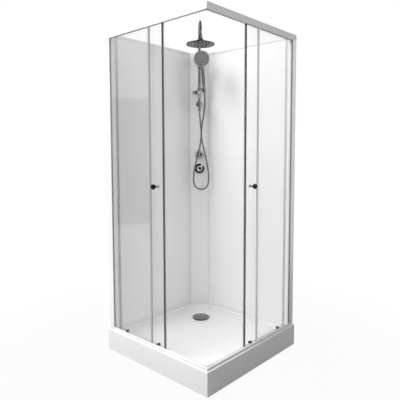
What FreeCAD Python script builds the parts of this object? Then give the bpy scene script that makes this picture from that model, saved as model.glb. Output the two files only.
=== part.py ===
import FreeCAD, Part
import math
import os

import Sketcher

# A square corner shower cabin: moulded tray, two rear walls with a corner column that carries the
# shower set, and two glass sides whose doors slide apart from the entry corner.
# +Z is up. The origin is at floor level under the middle of the tray. The entry corner is at +X -Y,
# the column at -X +Y. The left side is the -Y face and the right side the +X face, as seen by
# someone who stands outside the entry corner. The right side mirrors the left one in the plane
# through the entry corner and the column.

SIZES = {
    # whole cabin
    "plan_side": 900,
    "frame_top": 2090,
    "frame_inset": 10,
    "joint_gap": 0.3,
    "overrun": 5,
    # tray
    "rim_height": 142,
    "skirt_lift": 3,
    "tray_wall": 6,
    "rim_width": 44,
    "ledge_height": 118,
    "ledge_width": 42,
    "column_ledge": 75,
    "floor_height": 92,
    "basin_draft": 16,
    "tray_edge_round": 5,
    "pipe_notch_width": 90,
    "pipe_notch_height": 68,
    # waste
    "waste_inset": 250,
    "waste_hole": 85,
    "waste_flange": 116,
    "waste_flange_thick": 2,
    "waste_wall": 3,
    "waste_depth": 80,
    "waste_outlet": 40,
    "waste_outlet_height": 36,
    "waste_outlet_setback": 18,
    "waste_hub_radius": 25,
    "waste_hub_length": 62,
    "cover_diameter": 124,
    "cover_gap": 5,
    "cover_thick": 3,
    "cover_crown": 4,
    "cover_post_radius": 10,
    # feet
    "foot_inset": 100,
    "foot_pad": 52,
    "foot_pad_thick": 10,
    "foot_rod": 12,
    "foot_nut": 26,
    "foot_nut_thick": 8,
    # rear walls
    "wall_depth": 20,
    "wall_profile_height": 15,
    "panel_thick": 5,
    "panel_setback": 3,
    "panel_bite": 9,
    "panel_play": 0.5,
    "panel_lap": 15,
    # corner column
    "column_depth": 112,
    "column_thick": 4,
    "column_half_width": 64,
    "trim_thick": 3,
    "trim_lap": 6,
    # uprights
    "upright_side": 40,
    "upright_wall": 2,
    "upright_pocket": 14,
    # rails
    "rail_depth": 34,
    "rail_wall": 1.6,
    "top_rail_height": 38,
    "top_rail_lip": 6,
    "bottom_rail_height": 8,
    "bottom_rail_width": 19.5,
    "bottom_crest_height": 19,
    "bottom_face_height": 14,
    "bottom_flange": 3,
    "bottom_lip": 9,
    "bottom_lip_thick": 3,
    "track_wall": 11.2,
    "track_ledge": 19.5,
    "track_mouth": 30.5,
    "bracket_arm": 60,
    "bracket_thick": 3,
    "bracket_width": 10,
    # glass
    "glass_thick": 5,
    "glass_slot": 8,
    "fixed_glass_reach": 10,
    "fixed_glass_depth": 6,
    "fixed_edge_width": 12,
    "fixed_edge_thick": 9,
    "fixed_edge_depth": 3.5,
    "fixed_edge_web": 4,
    # doors, measured with the doors standing open as they are seen
    "door_stand": 75,
    "door_width": 450,
    "door_show": 101,
    "door_depth": 21,
    "door_clearance": 7,
    "door_top_reach": 22,
    "door_edge_width": 10,
    "door_edge_thick": 9,
    "door_edge_web": 4,
    "door_edge_clearance": 2,
    "magnet_thick": 9,
    "magnet_reach": 17,
    "tail_seal_width": 15,
    "tail_seal_wall": 1.5,
    "tail_fin_reach": 7,
    "knob_height": 1122,
    "knob_inset": 76,
    "knob_radius": 15.5,
    "knob_length": 24,
    "knob_neck_radius": 5.5,
    "knob_neck_length": 13,
    "inner_knob_radius": 9,
    "inner_knob_length": 18,
    "knob_bevel": 2,
    "knob_stem_radius": 4,
    # rollers
    "wheel_radius": 11,
    "wheel_width": 4.6,
    "wheel_lead_inset": 62,
    "wheel_tail_inset": 83,
    "axle_radius": 3,
    "axle_play": 0.05,
    "axle_cap_radius": 5,
    "axle_cap_thick": 1,
    "hub_flange_radius": 7,
    "hub_flange_thick": 2,
    "hub_nut_radius": 8,
    "hub_nut_thick": 5,
    # riser and overhead arm, measured from the face of the column
    "riser_stand": 60,
    "riser_radius": 10,
    "riser_bottom": 1660,
    "riser_top": 2158,
    "riser_bracket_low": 1702,
    "riser_bracket_high": 2012,
    "riser_bracket_height": 22,
    "riser_bracket_radius": 15,
    "riser_stem_radius": 9,
    "riser_rose_radius": 25,
    "riser_rose_thick": 8,
    "riser_screw_radius": 5,
    "riser_screw_length": 9,
    "outlet_radius": 7,
    "outlet_length": 10,
    "arm_reach": 225,
    "arm_joint_radius": 13,
    "arm_joint_length": 12,
    "arm_sleeve_length": 16,
    "arm_sleeve_rise": 6,
    "arm_neck_radius": 5,
    "ball_radius": 12,
    "ball_drop": 14,
    "ball_play": 0.3,
    # overhead shower
    "ring_radius": 16,
    "ring_top": 8,
    "ring_bottom": 0.5,
    "socket_top": 3.5,
    "socket_radius": 15,
    "head_radius": 100,
    "head_drop": 50,
    "head_edge": 7,
    "head_dome": 13,
    "head_face_thick": 2.5,
    "head_face_inset": 6,
    # hand shower and its slider
    "slider_height": 1800,
    "slider_radius": 16,
    "slider_length": 30,
    "pivot_radius": 6,
    "pivot_gap": 1.5,
    "pivot_pin_radius": 3,
    "pivot_pin_length": 4,
    "pivot_hole_length": 4.5,
    "cradle_offset": 36,
    "cradle_radius": 15,
    "cradle_length": 26,
    "cradle_bore": 11,
    "handset_lean": 5,
    "handset_tilt": 11,
    "handle_foot_radius": 10.7,
    "handle_radius": 13,
    "handle_length": 178,
    "handset_centre": 230,
    "handset_radius": 59,
    "handset_thick": 20,
    "handset_back_bevel": 8,
    "handset_face_radius": 51,
    "handset_face_thick": 3,
    "hose_radius": 6,
    "nut_radius": 11,
    "nut_tip_radius": 7.5,
    "nut_length": 22,
    # soap dish
    "dish_collar_height": 1748,
    "dish_collar_length": 20,
    "dish_lift": 9,
    "dish_rise": 24,
    "dish_wall": 2.5,
    "dish_half_width": 36,
    "dish_half_depth": 44,
    "dish_shift": 20,
    "dish_gap": 9,
    "dish_arm_width": 14,
    "dish_slot_step": 14,
    # diverter and mixer
    "diverter_rise": 107,
    "diverter_rose_radius": 34,
    "rose_thick": 6,
    "sleeve_radius": 16,
    "sleeve_length": 14,
    "spindle_radius": 4,
    "spindle_length": 8,
    "diverter_knob_radius": 18,
    "diverter_knob_length": 26,
    "knob_ridge_width": 8,
    "knob_ridge_height": 4,
    "valve_radius": 21,
    "valve_depth": 40,
    "mixer_height": 1202,
    "mixer_rose_radius": 38,
    "mixer_cap_radius": 21,
    "mixer_cap_length": 20,
    "lever_pivot_radius": 2.5,
    "lever_length": 46,
    "lever_width": 13,
    "lever_thick": 8,
    "lever_angle": 35,
    "lever_tail": 7,
    "lever_floor": 4,
    "lever_pin_reach": 4,
    "inlet_offset": 17,
    "inlet_depth": 24.5,
    "inlet_radius": 10.4,
    "inlet_length": 20,
    "inlet_collar_radius": 12.5,
    "inlet_collar_length": 25.5,
    "pipe_radius": 6,
    "pipe_depth": 16,
    "pipe_gap": 2,
}


class Size:
    """A size with its value and the sheet formula that it follows."""

    def __init__(self, value, formula):
        self.value = value
        self.formula = formula

    @staticmethod
    def of(other):
        return other if isinstance(other, Size) else Size(float(other), repr(float(other)))

    def joined(self, sign, other, value):
        return Size(value, f"({self.formula} {sign} {other.formula})")

    def __add__(self, other):
        other = Size.of(other)
        return self.joined("+", other, self.value + other.value)

    def __sub__(self, other):
        other = Size.of(other)
        return self.joined("-", other, self.value - other.value)

    def __mul__(self, other):
        other = Size.of(other)
        return self.joined("*", other, self.value * other.value)

    def __truediv__(self, other):
        other = Size.of(other)
        return self.joined("/", other, self.value / other.value)

    def __radd__(self, other):
        return Size.of(other) + self

    def __rsub__(self, other):
        return Size.of(other) - self

    def __rmul__(self, other):
        return Size.of(other) * self

    def __neg__(self):
        return Size(-self.value, f"(0 - {self.formula})")

    def __float__(self):
        return float(self.value)


class Sizes:
    """The named sizes of the sheet, each as an attribute."""


doc = FreeCAD.newDocument("ShowerCabin")
sheet = doc.addObject("Spreadsheet::Sheet", "Dims")
for row, (name, value) in enumerate(SIZES.items(), 1):
    sheet.set(f"A{row}", name)
    sheet.set(f"B{row}", str(value))
    sheet.setAlias(f"B{row}", name)
doc.recompute()

s = Sizes()
for name in SIZES:
    setattr(s, name, Size(float(sheet.get(name)), f"Dims.{name}"))

ZERO = Size.of(0)
ROOT_HALF = math.sqrt(0.5)
AXES = {
    "x": FreeCAD.Rotation(FreeCAD.Vector(0, 1, 0), 90),
    "-x": FreeCAD.Rotation(FreeCAD.Vector(0, 1, 0), -90),
    "y": FreeCAD.Rotation(FreeCAD.Vector(1, 0, 0), -90),
    "-y": FreeCAD.Rotation(FreeCAD.Vector(1, 0, 0), 90),
    "z": FreeCAD.Rotation(),
    "-z": FreeCAD.Rotation(FreeCAD.Vector(1, 0, 0), 180),
}
nodes = {}


# Helpers that make document objects whose sizes follow the sheet

def bind(thing, prop, size):
    """Let a property follow a size."""
    thing.setExpression(prop, Size.of(size).formula)


def place(thing, low, rotation=None):
    """Put a thing at a point and turn it."""
    if rotation is not None:
        thing.Placement = FreeCAD.Placement(FreeCAD.Vector(), rotation)
    for axis, size in zip("xyz", low):
        bind(thing, f"Placement.Base.{axis}", size)
    return thing


def box(low, high):
    """A block between two corners."""
    solid = doc.addObject("Part::Box", "Block")
    for prop, first, last in zip(("Length", "Width", "Height"), low, high):
        bind(solid, prop, last - first)
    return place(solid, low)


def rod(start, axis, radius, length):
    """A cylinder from a point along an axis."""
    solid = doc.addObject("Part::Cylinder", "Rod")
    bind(solid, "Radius", radius)
    bind(solid, "Height", length)
    return place(solid, start, AXES[axis])


def cone(start, axis, radius, end_radius, length):
    """A cone from a point along an axis."""
    solid = doc.addObject("Part::Cone", "Cone")
    bind(solid, "Radius1", radius)
    bind(solid, "Radius2", end_radius)
    bind(solid, "Height", length)
    return place(solid, start, AXES[axis])


def ball(centre, radius):
    """A ball about a point."""
    solid = doc.addObject("Part::Sphere", "Ball")
    bind(solid, "Radius", radius)
    return place(solid, centre)


def fuse(*pieces):
    """One solid from pieces that overlap."""
    joined = doc.addObject("Part::MultiFuse", "Joined")
    joined.Shapes = list(pieces)
    joined.Refine = True
    return joined


def cut(base, *tools):
    """What the tools leave of a piece."""
    for tool in tools:
        left = doc.addObject("Part::Cut", "Cut")
        left.Base = base
        left.Tool = tool
        base = left
    return base


def group(*pieces):
    """Separate solids in one node."""
    together = doc.addObject("Part::Compound", "Group")
    together.Links = list(pieces)
    return together


def mirrored(piece):
    """The right side's copy of a left side piece."""
    copy = doc.addObject("Part::Mirroring", "Mirrored")
    copy.Source = piece
    copy.Base = FreeCAD.Vector(0, 0, 0)
    copy.Normal = FreeCAD.Vector(1, 1, 0)
    return copy


def node(label, piece):
    """Name a finished piece."""
    piece.Label = label
    nodes[label] = piece
    return piece


def both_sides(name, piece):
    """Name a left side piece and add its mirror image on the right side."""
    node(f"left_{name}", piece)
    node(f"right_{name}", mirrored(piece))


def new_body(name):
    return doc.addObject("PartDesign::Body", name)


def add_sketch(body, plane_role, outlines, height=ZERO, circles=()):
    """A sketch on one of the body's own planes, every point held by the sheet."""
    sketch = body.newObject("Sketcher::SketchObject", "Outline")
    plane = [part for part in body.Origin.OriginFeatures if part.Role == plane_role][0]
    sketch.AttachmentSupport = [(plane, "")]
    sketch.MapMode = "FlatFace"
    bind(sketch, "AttachmentOffset.Base.z", height)
    first = 0
    for points in outlines:
        count = len(points)
        corners = [FreeCAD.Vector(float(x), float(y), 0) for x, y in points]
        for index in range(count):
            sketch.addGeometry(Part.LineSegment(corners[index], corners[(index + 1) % count]), False)
        for index in range(count):
            after = first + (index + 1) % count
            sketch.addConstraint(Sketcher.Constraint("Coincident", first + index, 2, after, 1))
        for index, (x, y) in enumerate(points):
            hold_point(sketch, first + index, 1, x, y)
        first += count
    for centre_x, centre_y, radius in circles:
        centre = FreeCAD.Vector(float(centre_x), float(centre_y), 0)
        sketch.addGeometry(Part.Circle(centre, FreeCAD.Vector(0, 0, 1), float(radius)), False)
        index = sketch.addConstraint(Sketcher.Constraint("Radius", first, float(radius)))
        bind(sketch, f"Constraints[{index}]", radius)
        hold_point(sketch, first, 3, centre_x, centre_y)
        first += 1
    return sketch


def hold_point(sketch, geometry, end, x, y):
    """Hold a point of a sketch at named distances from the sketch's origin."""
    for kind, line, size in (("DistanceX", -2, x), ("DistanceY", -1, y)):
        if float(size) == 0:
            sketch.addConstraint(Sketcher.Constraint("PointOnObject", geometry, end, line))
            continue
        rule = Sketcher.Constraint(kind, -1, 1, geometry, end, float(size))
        index = sketch.addConstraint(rule)
        bind(sketch, f"Constraints[{index}]", size)


def add_pad(body, sketch, length):
    pad = body.newObject("PartDesign::Pad", "Pad")
    pad.Profile = sketch
    bind(pad, "Length", length)
    return pad


def add_pocket(body, sketch, length, upwards=False):
    """A pocket that has to take material away."""
    doc.recompute()
    before = body.Shape.Volume
    pocket = body.newObject("PartDesign::Pocket", "Pocket")
    pocket.Profile = sketch
    pocket.Reversed = upwards
    bind(pocket, "Length", length)
    doc.recompute()
    if body.Shape.Volume >= before:
        raise ValueError(f"a pocket in {body.Label} takes nothing away")
    return pocket


def prism(name, plane_role, outlines, height, length):
    """A straight extrusion of one section."""
    body = new_body(name)
    add_pad(body, add_sketch(body, plane_role, outlines, height), length)
    return body


# Planes and heights that several pieces share

HALF = s.plan_side / 2
FACE = HALF - s.frame_inset
RAIL_FOOT = s.frame_top - s.top_rail_height
RAIL_UNDER = RAIL_FOOT + s.top_rail_lip
RAIL_HEAD = s.rim_height + s.bottom_rail_height
SILL_CREST = s.rim_height + s.bottom_crest_height
WALL_INNER = -FACE + s.wall_depth
COLUMN_PLANE = s.column_depth * ROOT_HALF - HALF
DOOR_TAIL = -FACE + s.door_stand
DOOR_LEAD = DOOR_TAIL + s.door_width
DOOR_INNER = s.door_depth + s.glass_thick
DOOR_FOOT = s.rim_height + s.door_clearance
DOOR_HEAD = RAIL_UNDER + s.door_top_reach
WHEEL_INNER = s.door_depth - s.hub_flange_thick - s.joint_gap / 2
WHEEL_OUTER = WHEEL_INNER - s.wheel_width
TOP_AXLE = RAIL_UNDER + s.rail_wall + s.joint_gap + s.wheel_radius
BOTTOM_AXLE = RAIL_HEAD + s.joint_gap + s.wheel_radius
FIXED_END = DOOR_LEAD - s.door_show
DIVERTER_HEIGHT = s.mixer_height + s.diverter_rise
WASTE = HALF - s.waste_inset
FOOT = HALF - s.foot_inset


def inward(depth):
    """The Y of a point of the left side, from its depth behind the frame's outer face."""
    return Size.of(depth) - FACE


def at_column(piece):
    """Stand a shower piece on the column: its X runs along the column's face, its -Y into the cabin."""
    turn = FreeCAD.Rotation(FreeCAD.Vector(0, 0, 1), 45)
    return place(piece, (COLUMN_PLANE, -COLUMN_PLANE, ZERO), turn)


# Tray

def basin_outline(inset, chamfer_inset):
    """The basin's corners, drawn in from its rim, with the rear one cut off by the column's ledge."""
    near = HALF - s.rim_width - inset
    rear = HALF - s.ledge_width - inset
    ledge_line = 2 * COLUMN_PLANE + (s.column_ledge + chamfer_inset) / ROOT_HALF
    corner = rear + ledge_line
    return [
        (near, -near),
        (near, rear),
        (corner, rear),
        (-rear, -corner),
        (-rear, -near),
    ]


def make_tray():
    """One moulded shell: skirt, rim, rear ledges, basin and a hollow underside."""
    body = new_body("TrayBody")
    square = [(-HALF, -HALF), (HALF, -HALF), (HALF, HALF), (-HALF, HALF)]
    foot = add_sketch(body, "XY_Plane", [square], s.skirt_lift)
    block = add_pad(body, foot, s.rim_height - s.skirt_lift)
    doc.recompute()
    rounded = body.newObject("PartDesign::Fillet", "EdgeRound")
    edges = []
    for index, edge in enumerate(block.Shape.Edges, 1):
        middle = edge.CenterOfMass
        if middle.z > float(s.skirt_lift) + float(s.joint_gap):
            edges.append(f"Edge{index}")
    rounded.Base = (block, edges)
    bind(rounded, "Radius", s.tray_edge_round)
    band = HALF - s.rim_width
    out = HALF + s.overrun
    ledge = [(-out, -band), (band, -band), (band, out), (-out, out)]
    add_pocket(body, add_sketch(body, "XY_Plane", [ledge], s.rim_height), s.rim_height - s.ledge_height)
    doc.recompute()

    before = body.Shape.Volume
    basin = body.newObject("PartDesign::SubtractiveLoft", "Basin")
    basin.Profile = add_sketch(body, "XY_Plane", [basin_outline(ZERO, ZERO)], s.rim_height)
    floor = basin_outline(s.basin_draft, s.basin_draft)
    basin.Sections = [add_sketch(body, "XY_Plane", [floor], s.floor_height)]
    basin.Ruled = True
    doc.recompute()
    if body.Shape.Volume >= before:
        raise ValueError("the basin takes nothing away")

    skirt = HALF - s.tray_wall
    hollow = [(-skirt, -skirt), (skirt, -skirt), (skirt, skirt), (-skirt, skirt)]
    under = s.floor_height - s.tray_wall
    add_pocket(body, add_sketch(body, "XY_Plane", [hollow], ZERO), under, upwards=True)
    shell = basin_outline(-s.tray_wall, -s.tray_wall)
    ledge_under = s.ledge_height - s.tray_wall
    rear = HALF - s.ledge_width + s.tray_wall
    left_strip = [(-skirt, -skirt), (-rear, -skirt), (-rear, skirt), (-skirt, skirt)]
    rear_strip = [(-rear, rear), (skirt, rear), (skirt, skirt), (-rear, skirt)]
    add_pocket(body, add_sketch(body, "XY_Plane", [left_strip], under), ledge_under - under, upwards=True)
    add_pocket(body, add_sketch(body, "XY_Plane", [rear_strip], under), ledge_under - under, upwards=True)
    corner = [shell[3], shell[2], (-rear, rear)]
    add_pocket(body, add_sketch(body, "XY_Plane", [corner], under), ledge_under - under, upwards=True)
    near = HALF - s.rim_width + s.tray_wall
    rim_under = s.rim_height - s.tray_wall
    front_strip = [(-rear, -skirt), (skirt, -skirt), (skirt, -near), (-rear, -near)]
    right_strip = [(near, -near), (skirt, -near), (skirt, rear), (near, rear)]
    add_pocket(body, add_sketch(body, "XY_Plane", [front_strip], under), rim_under - under, upwards=True)
    add_pocket(body, add_sketch(body, "XY_Plane", [right_strip], under), rim_under - under, upwards=True)

    hole = (-WASTE, WASTE, s.waste_hole / 2)
    add_pocket(body, add_sketch(body, "XY_Plane", [], s.floor_height, [hole]), s.tray_wall + s.overrun)
    half_notch = s.pipe_notch_width / 2
    notch = [
        (WASTE - half_notch, ZERO),
        (WASTE + half_notch, ZERO),
        (WASTE + half_notch, s.pipe_notch_height),
        (WASTE - half_notch, s.pipe_notch_height),
    ]
    notch_sketch = add_sketch(body, "YZ_Plane", [notch], -HALF - s.overrun)
    add_pocket(body, notch_sketch, s.tray_wall + 2 * s.overrun, upwards=True)
    node("tray", body)


def make_feet():
    """Levelling feet that screw up against the underside of the basin."""
    solids = []
    floor_under = s.floor_height - s.tray_wall
    ledge_under = s.ledge_height - s.tray_wall
    for across, along, top in (
        (-1, -1, floor_under),
        (1, -1, floor_under),
        (1, 1, floor_under),
        (-1, 1, ledge_under),
        (0, 0, floor_under),
    ):
        x = FOOT * across
        y = FOOT * along
        pad = rod((x, y, ZERO), "z", s.foot_pad / 2, s.foot_pad_thick)
        shank = rod((x, y, ZERO), "z", s.foot_rod / 2, top)
        nut = rod((x, y, top - s.foot_nut_thick), "z", s.foot_nut / 2, s.foot_nut_thick)
        solids.append(fuse(pad, shank, nut))
    node("tray_feet", group(*solids))


def make_waste():
    """The waste trap under the tray and the domed cover that lifts off it."""
    x = -WASTE
    y = WASTE
    top = s.floor_height + s.waste_flange_thick
    radius = s.waste_hole / 2 - s.joint_gap
    flange = rod((x, y, s.floor_height), "z", s.waste_flange / 2, s.waste_flange_thick)
    cup_height = s.waste_depth + s.waste_flange_thick
    cup = rod((x, y, top - cup_height), "z", radius, cup_height)
    outlet = (x, y, s.waste_outlet_height)
    outlet_length = s.waste_inset - s.waste_outlet_setback
    hub = rod(outlet, "-x", s.waste_hub_radius, s.waste_hub_length)
    spigot = rod(outlet, "-x", s.waste_outlet / 2, outlet_length)
    bore = rod((x, y, top - s.waste_depth), "z", radius - s.waste_wall, s.waste_depth + s.overrun)
    pipe_bore = rod(outlet, "-x", s.waste_outlet / 2 - s.waste_wall, outlet_length + s.overrun)
    post_foot = top - s.waste_depth
    post_height = s.waste_depth - s.cover_post_radius
    post = rod((x, y, post_foot), "z", s.cover_post_radius, post_height)
    pocket = rod((x, y, post_foot + s.waste_wall), "z", s.cover_post_radius - s.waste_wall, post_height)
    hollow = cut(fuse(flange, cup, hub, spigot), bore, pipe_bore)
    node("waste_trap", cut(fuse(hollow, post), pocket))

    stem_radius = s.cover_post_radius - s.waste_wall - s.axle_play
    under = top + s.cover_gap
    disc = rod((x, y, under), "z", s.cover_diameter / 2, s.cover_thick)
    crown = dome((x, y), under + s.cover_thick, s.cover_diameter / 2, s.cover_crown)
    stem_foot = post_foot + s.waste_wall + s.joint_gap
    stem = rod((x, y, stem_foot), "z", stem_radius, under - stem_foot + s.cover_thick)
    node("waste_cover", fuse(disc, crown, stem))


# Rear walls and corner column

def make_rear_walls():
    """A panel between two channels that meet at the rear corner. The panel ends behind the column."""
    front = s.rail_depth + s.joint_gap - FACE
    back = s.panel_setback
    slot = s.panel_thick + 2 * s.panel_play
    near = WALL_INNER - back + s.panel_play
    out = -FACE
    bottom = s.ledge_height
    top = s.frame_top
    bite = s.panel_bite
    tall = s.wall_profile_height
    low_channel = [
        (out, bottom),
        (WALL_INNER, bottom),
        (WALL_INNER, bottom + tall),
        (near, bottom + tall),
        (near, bottom + tall - bite),
        (near - slot, bottom + tall - bite),
        (near - slot, bottom + tall),
        (out, bottom + tall),
    ]
    high_channel = [
        (out, top),
        (WALL_INNER, top),
        (WALL_INNER, top - tall),
        (near, top - tall),
        (near, top - tall + bite),
        (near - slot, top - tall + bite),
        (near - slot, top - tall),
        (out, top - tall),
    ]
    channels = []
    for section in (low_channel, high_channel):
        body = new_body("WallChannel")
        add_pad(body, add_sketch(body, "XZ_Plane", [section], -FACE), FACE - front)
        low = -FACE - s.overrun
        high = WALL_INNER + s.overrun
        wedge = [
            (low, -low - s.joint_gap),
            (high, -high - s.joint_gap),
            (high, FACE + 2 * s.overrun),
            (low, FACE + 2 * s.overrun),
        ]
        sketch = add_sketch(body, "XY_Plane", [wedge], s.frame_top + s.overrun)
        add_pocket(body, sketch, s.frame_top + s.overrun)
        channels.append(body)
    both_sides("wall_channels", group(*channels))

    panel_near = WALL_INNER - back
    panel_end = WALL_INNER - 2 * COLUMN_PLANE + s.panel_lap
    panel = box(
        (panel_near - s.panel_thick, front, bottom + tall - bite + s.panel_play),
        (panel_near, panel_end, top - tall + bite - s.panel_play),
    )
    both_sides("wall_panel", panel)


def make_column():
    """The flat panel across the rear corner, with its valve holes, and the strips that close its edges."""
    half = s.column_half_width
    foot = s.ledge_height
    panel = box((-half, ZERO, foot), (half, s.column_thick, s.frame_top))
    through = 2 * s.overrun + s.column_thick
    holes = []
    for height, radius in (
        (DIVERTER_HEIGHT, s.valve_radius),
        (s.mixer_height, s.valve_radius),
        (s.riser_bracket_low, s.pipe_radius),
        (s.riser_bracket_high, s.pipe_radius),
    ):
        holes.append(rod((ZERO, -s.overrun, height), "y", radius + s.joint_gap, through))
    node("column_panel", at_column(cut(panel, *holes)))

    chord = s.column_depth - s.wall_depth / ROOT_HALF - s.frame_inset / ROOT_HALF
    reach = chord - s.joint_gap / ROOT_HALF
    strips = []
    for side in (-1, 1):
        section = [
            ((half - s.trim_lap) * side, ZERO),
            (reach * side, ZERO),
            ((reach + s.trim_thick) * side, -s.trim_thick),
            ((half - s.trim_lap) * side, -s.trim_thick),
        ]
        strips.append(prism("ColumnTrim", "XY_Plane", [section], foot, s.frame_top - foot))
    node("column_trims", at_column(group(*strips)))


# Glass sides

def make_uprights():
    """A hollow post where each glass side meets its rear wall, with a pocket for the fixed glass."""
    side = s.upright_side
    depth = s.rail_depth
    wall = s.upright_wall
    x = -FACE
    slot_out = s.fixed_glass_depth - (s.glass_slot - s.glass_thick) / 2
    slot_in = slot_out + s.glass_slot
    pocket = side - s.upright_pocket
    outer = [
        (x, inward(0)),
        (x + side, inward(0)),
        (x + side, inward(slot_out)),
        (x + pocket, inward(slot_out)),
        (x + pocket, inward(slot_in)),
        (x + side, inward(slot_in)),
        (x + side, inward(depth)),
        (x, inward(depth)),
    ]
    hollow = [
        (x + wall, inward(wall)),
        (x + pocket - wall, inward(wall)),
        (x + pocket - wall, inward(depth - wall)),
        (x + wall, inward(depth - wall)),
    ]
    tall = RAIL_UNDER - s.rim_height
    both_sides("upright", prism("Upright", "XY_Plane", [outer, hollow], s.rim_height, tall))


def mitre(body, depth):
    """Cut the entry corner end of a left side rail at 45 degrees."""
    low = -FACE - s.overrun
    high = -FACE + depth + s.overrun
    wedge = [
        (-low - s.joint_gap, low),
        (-high - s.joint_gap, high),
        (FACE + 2 * s.overrun, high),
        (FACE + 2 * s.overrun, low),
    ]
    above = s.frame_top + s.overrun
    add_pocket(body, add_sketch(body, "XY_Plane", [wedge], above), above)


def make_rails():
    """The head rail with its roller track, and the sill rail that the lower rollers run on."""
    foot = RAIL_FOOT
    under = RAIL_UNDER
    head = s.frame_top
    wall = s.rail_wall
    depth = s.rail_depth
    track = s.track_wall
    top_section = [
        (inward(0), foot),
        (inward(0), head),
        (inward(depth), head),
        (inward(depth), under),
        (inward(s.track_mouth), under),
        (inward(s.track_mouth), under + wall),
        (inward(depth - wall), under + wall),
        (inward(depth - wall), head - wall),
        (inward(track + wall), head - wall),
        (inward(track + wall), under + wall),
        (inward(s.track_ledge), under + wall),
        (inward(s.track_ledge), under),
        (inward(track), under),
        (inward(track), head - wall),
        (inward(wall), head - wall),
        (inward(wall), foot),
    ]
    top_rail = prism("TopRail", "YZ_Plane", [top_section], -FACE, 2 * FACE)
    mitre(top_rail, depth)
    start = s.upright_side - FACE
    out = -FACE - s.overrun
    seat = [(out, out), (start, out), (start, inward(track)), (out, inward(track))]
    add_pocket(top_rail, add_sketch(top_rail, "XY_Plane", [seat], under), s.top_rail_lip)
    both_sides("top_rail", top_rail)

    sill = s.rim_height
    slot_out = s.fixed_glass_depth - (s.glass_slot - s.glass_thick) / 2
    slot_in = slot_out + s.glass_slot
    floor = sill + s.bottom_flange
    bottom_section = [
        (inward(0), sill),
        (inward(0), sill + s.bottom_face_height),
        (inward(slot_out), SILL_CREST),
        (inward(slot_out), floor),
        (inward(slot_in), floor),
        (inward(slot_in), RAIL_HEAD),
        (inward(s.bottom_rail_width), RAIL_HEAD),
        (inward(s.bottom_rail_width), floor),
        (inward(depth - s.bottom_lip_thick), floor),
        (inward(depth - s.bottom_lip_thick), sill + s.bottom_lip),
        (inward(depth), sill + s.bottom_lip),
        (inward(depth), sill),
    ]
    bottom_rail = prism("BottomRail", "YZ_Plane", [bottom_section], start, FACE - start)
    mitre(bottom_rail, depth)
    both_sides("bottom_rail", bottom_rail)


def make_corner_brackets():
    """Flat angles that join the mitred rails at the entry corner, above and below."""
    solids = []
    arm = s.bracket_arm
    top_start = s.track_wall + s.rail_wall
    bottom_start = s.bottom_rail_width
    for depth, height in (
        (top_start, s.frame_top - s.rail_wall - s.bracket_thick),
        (bottom_start, s.rim_height + s.bottom_flange),
    ):
        near = depth + s.joint_gap
        far = near + s.bracket_width
        outline = [
            (FACE - near, inward(near)),
            (FACE - near, inward(near + arm)),
            (FACE - far, inward(near + arm)),
            (FACE - far, inward(far)),
            (FACE - near - arm, inward(far)),
            (FACE - near - arm, inward(near)),
        ]
        solids.append(prism("CornerAngle", "XY_Plane", [outline], height, s.bracket_thick))
    node("corner_brackets", group(*solids))


def make_fixed_glass():
    """The fixed pane and the slim profile on its free edge."""
    depth = s.fixed_glass_depth
    end = FIXED_END
    pane_end = end - s.fixed_edge_web
    slack = (s.glass_slot - s.glass_thick) / 2
    pane_start = s.upright_side - FACE - s.upright_pocket + slack
    pane = box(
        (pane_start, inward(depth), s.rim_height + s.bottom_flange + slack),
        (pane_end - s.joint_gap, inward(depth + s.glass_thick), RAIL_UNDER + s.fixed_glass_reach),
    )
    both_sides("fixed_glass", pane)
    out = s.fixed_edge_depth
    inside = out + s.fixed_edge_thick
    start = end - s.fixed_edge_width
    clip = [
        (start, inward(out)),
        (end, inward(out)),
        (end, inward(inside)),
        (start, inward(inside)),
        (start, inward(depth + s.glass_thick)),
        (pane_end, inward(depth + s.glass_thick)),
        (pane_end, inward(depth)),
        (start, inward(depth)),
    ]
    length = RAIL_UNDER - SILL_CREST - 2 * s.joint_gap
    both_sides("fixed_edge", prism("FixedEdge", "XY_Plane", [clip], SILL_CREST + s.joint_gap, length))


# Sliding doors

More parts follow.
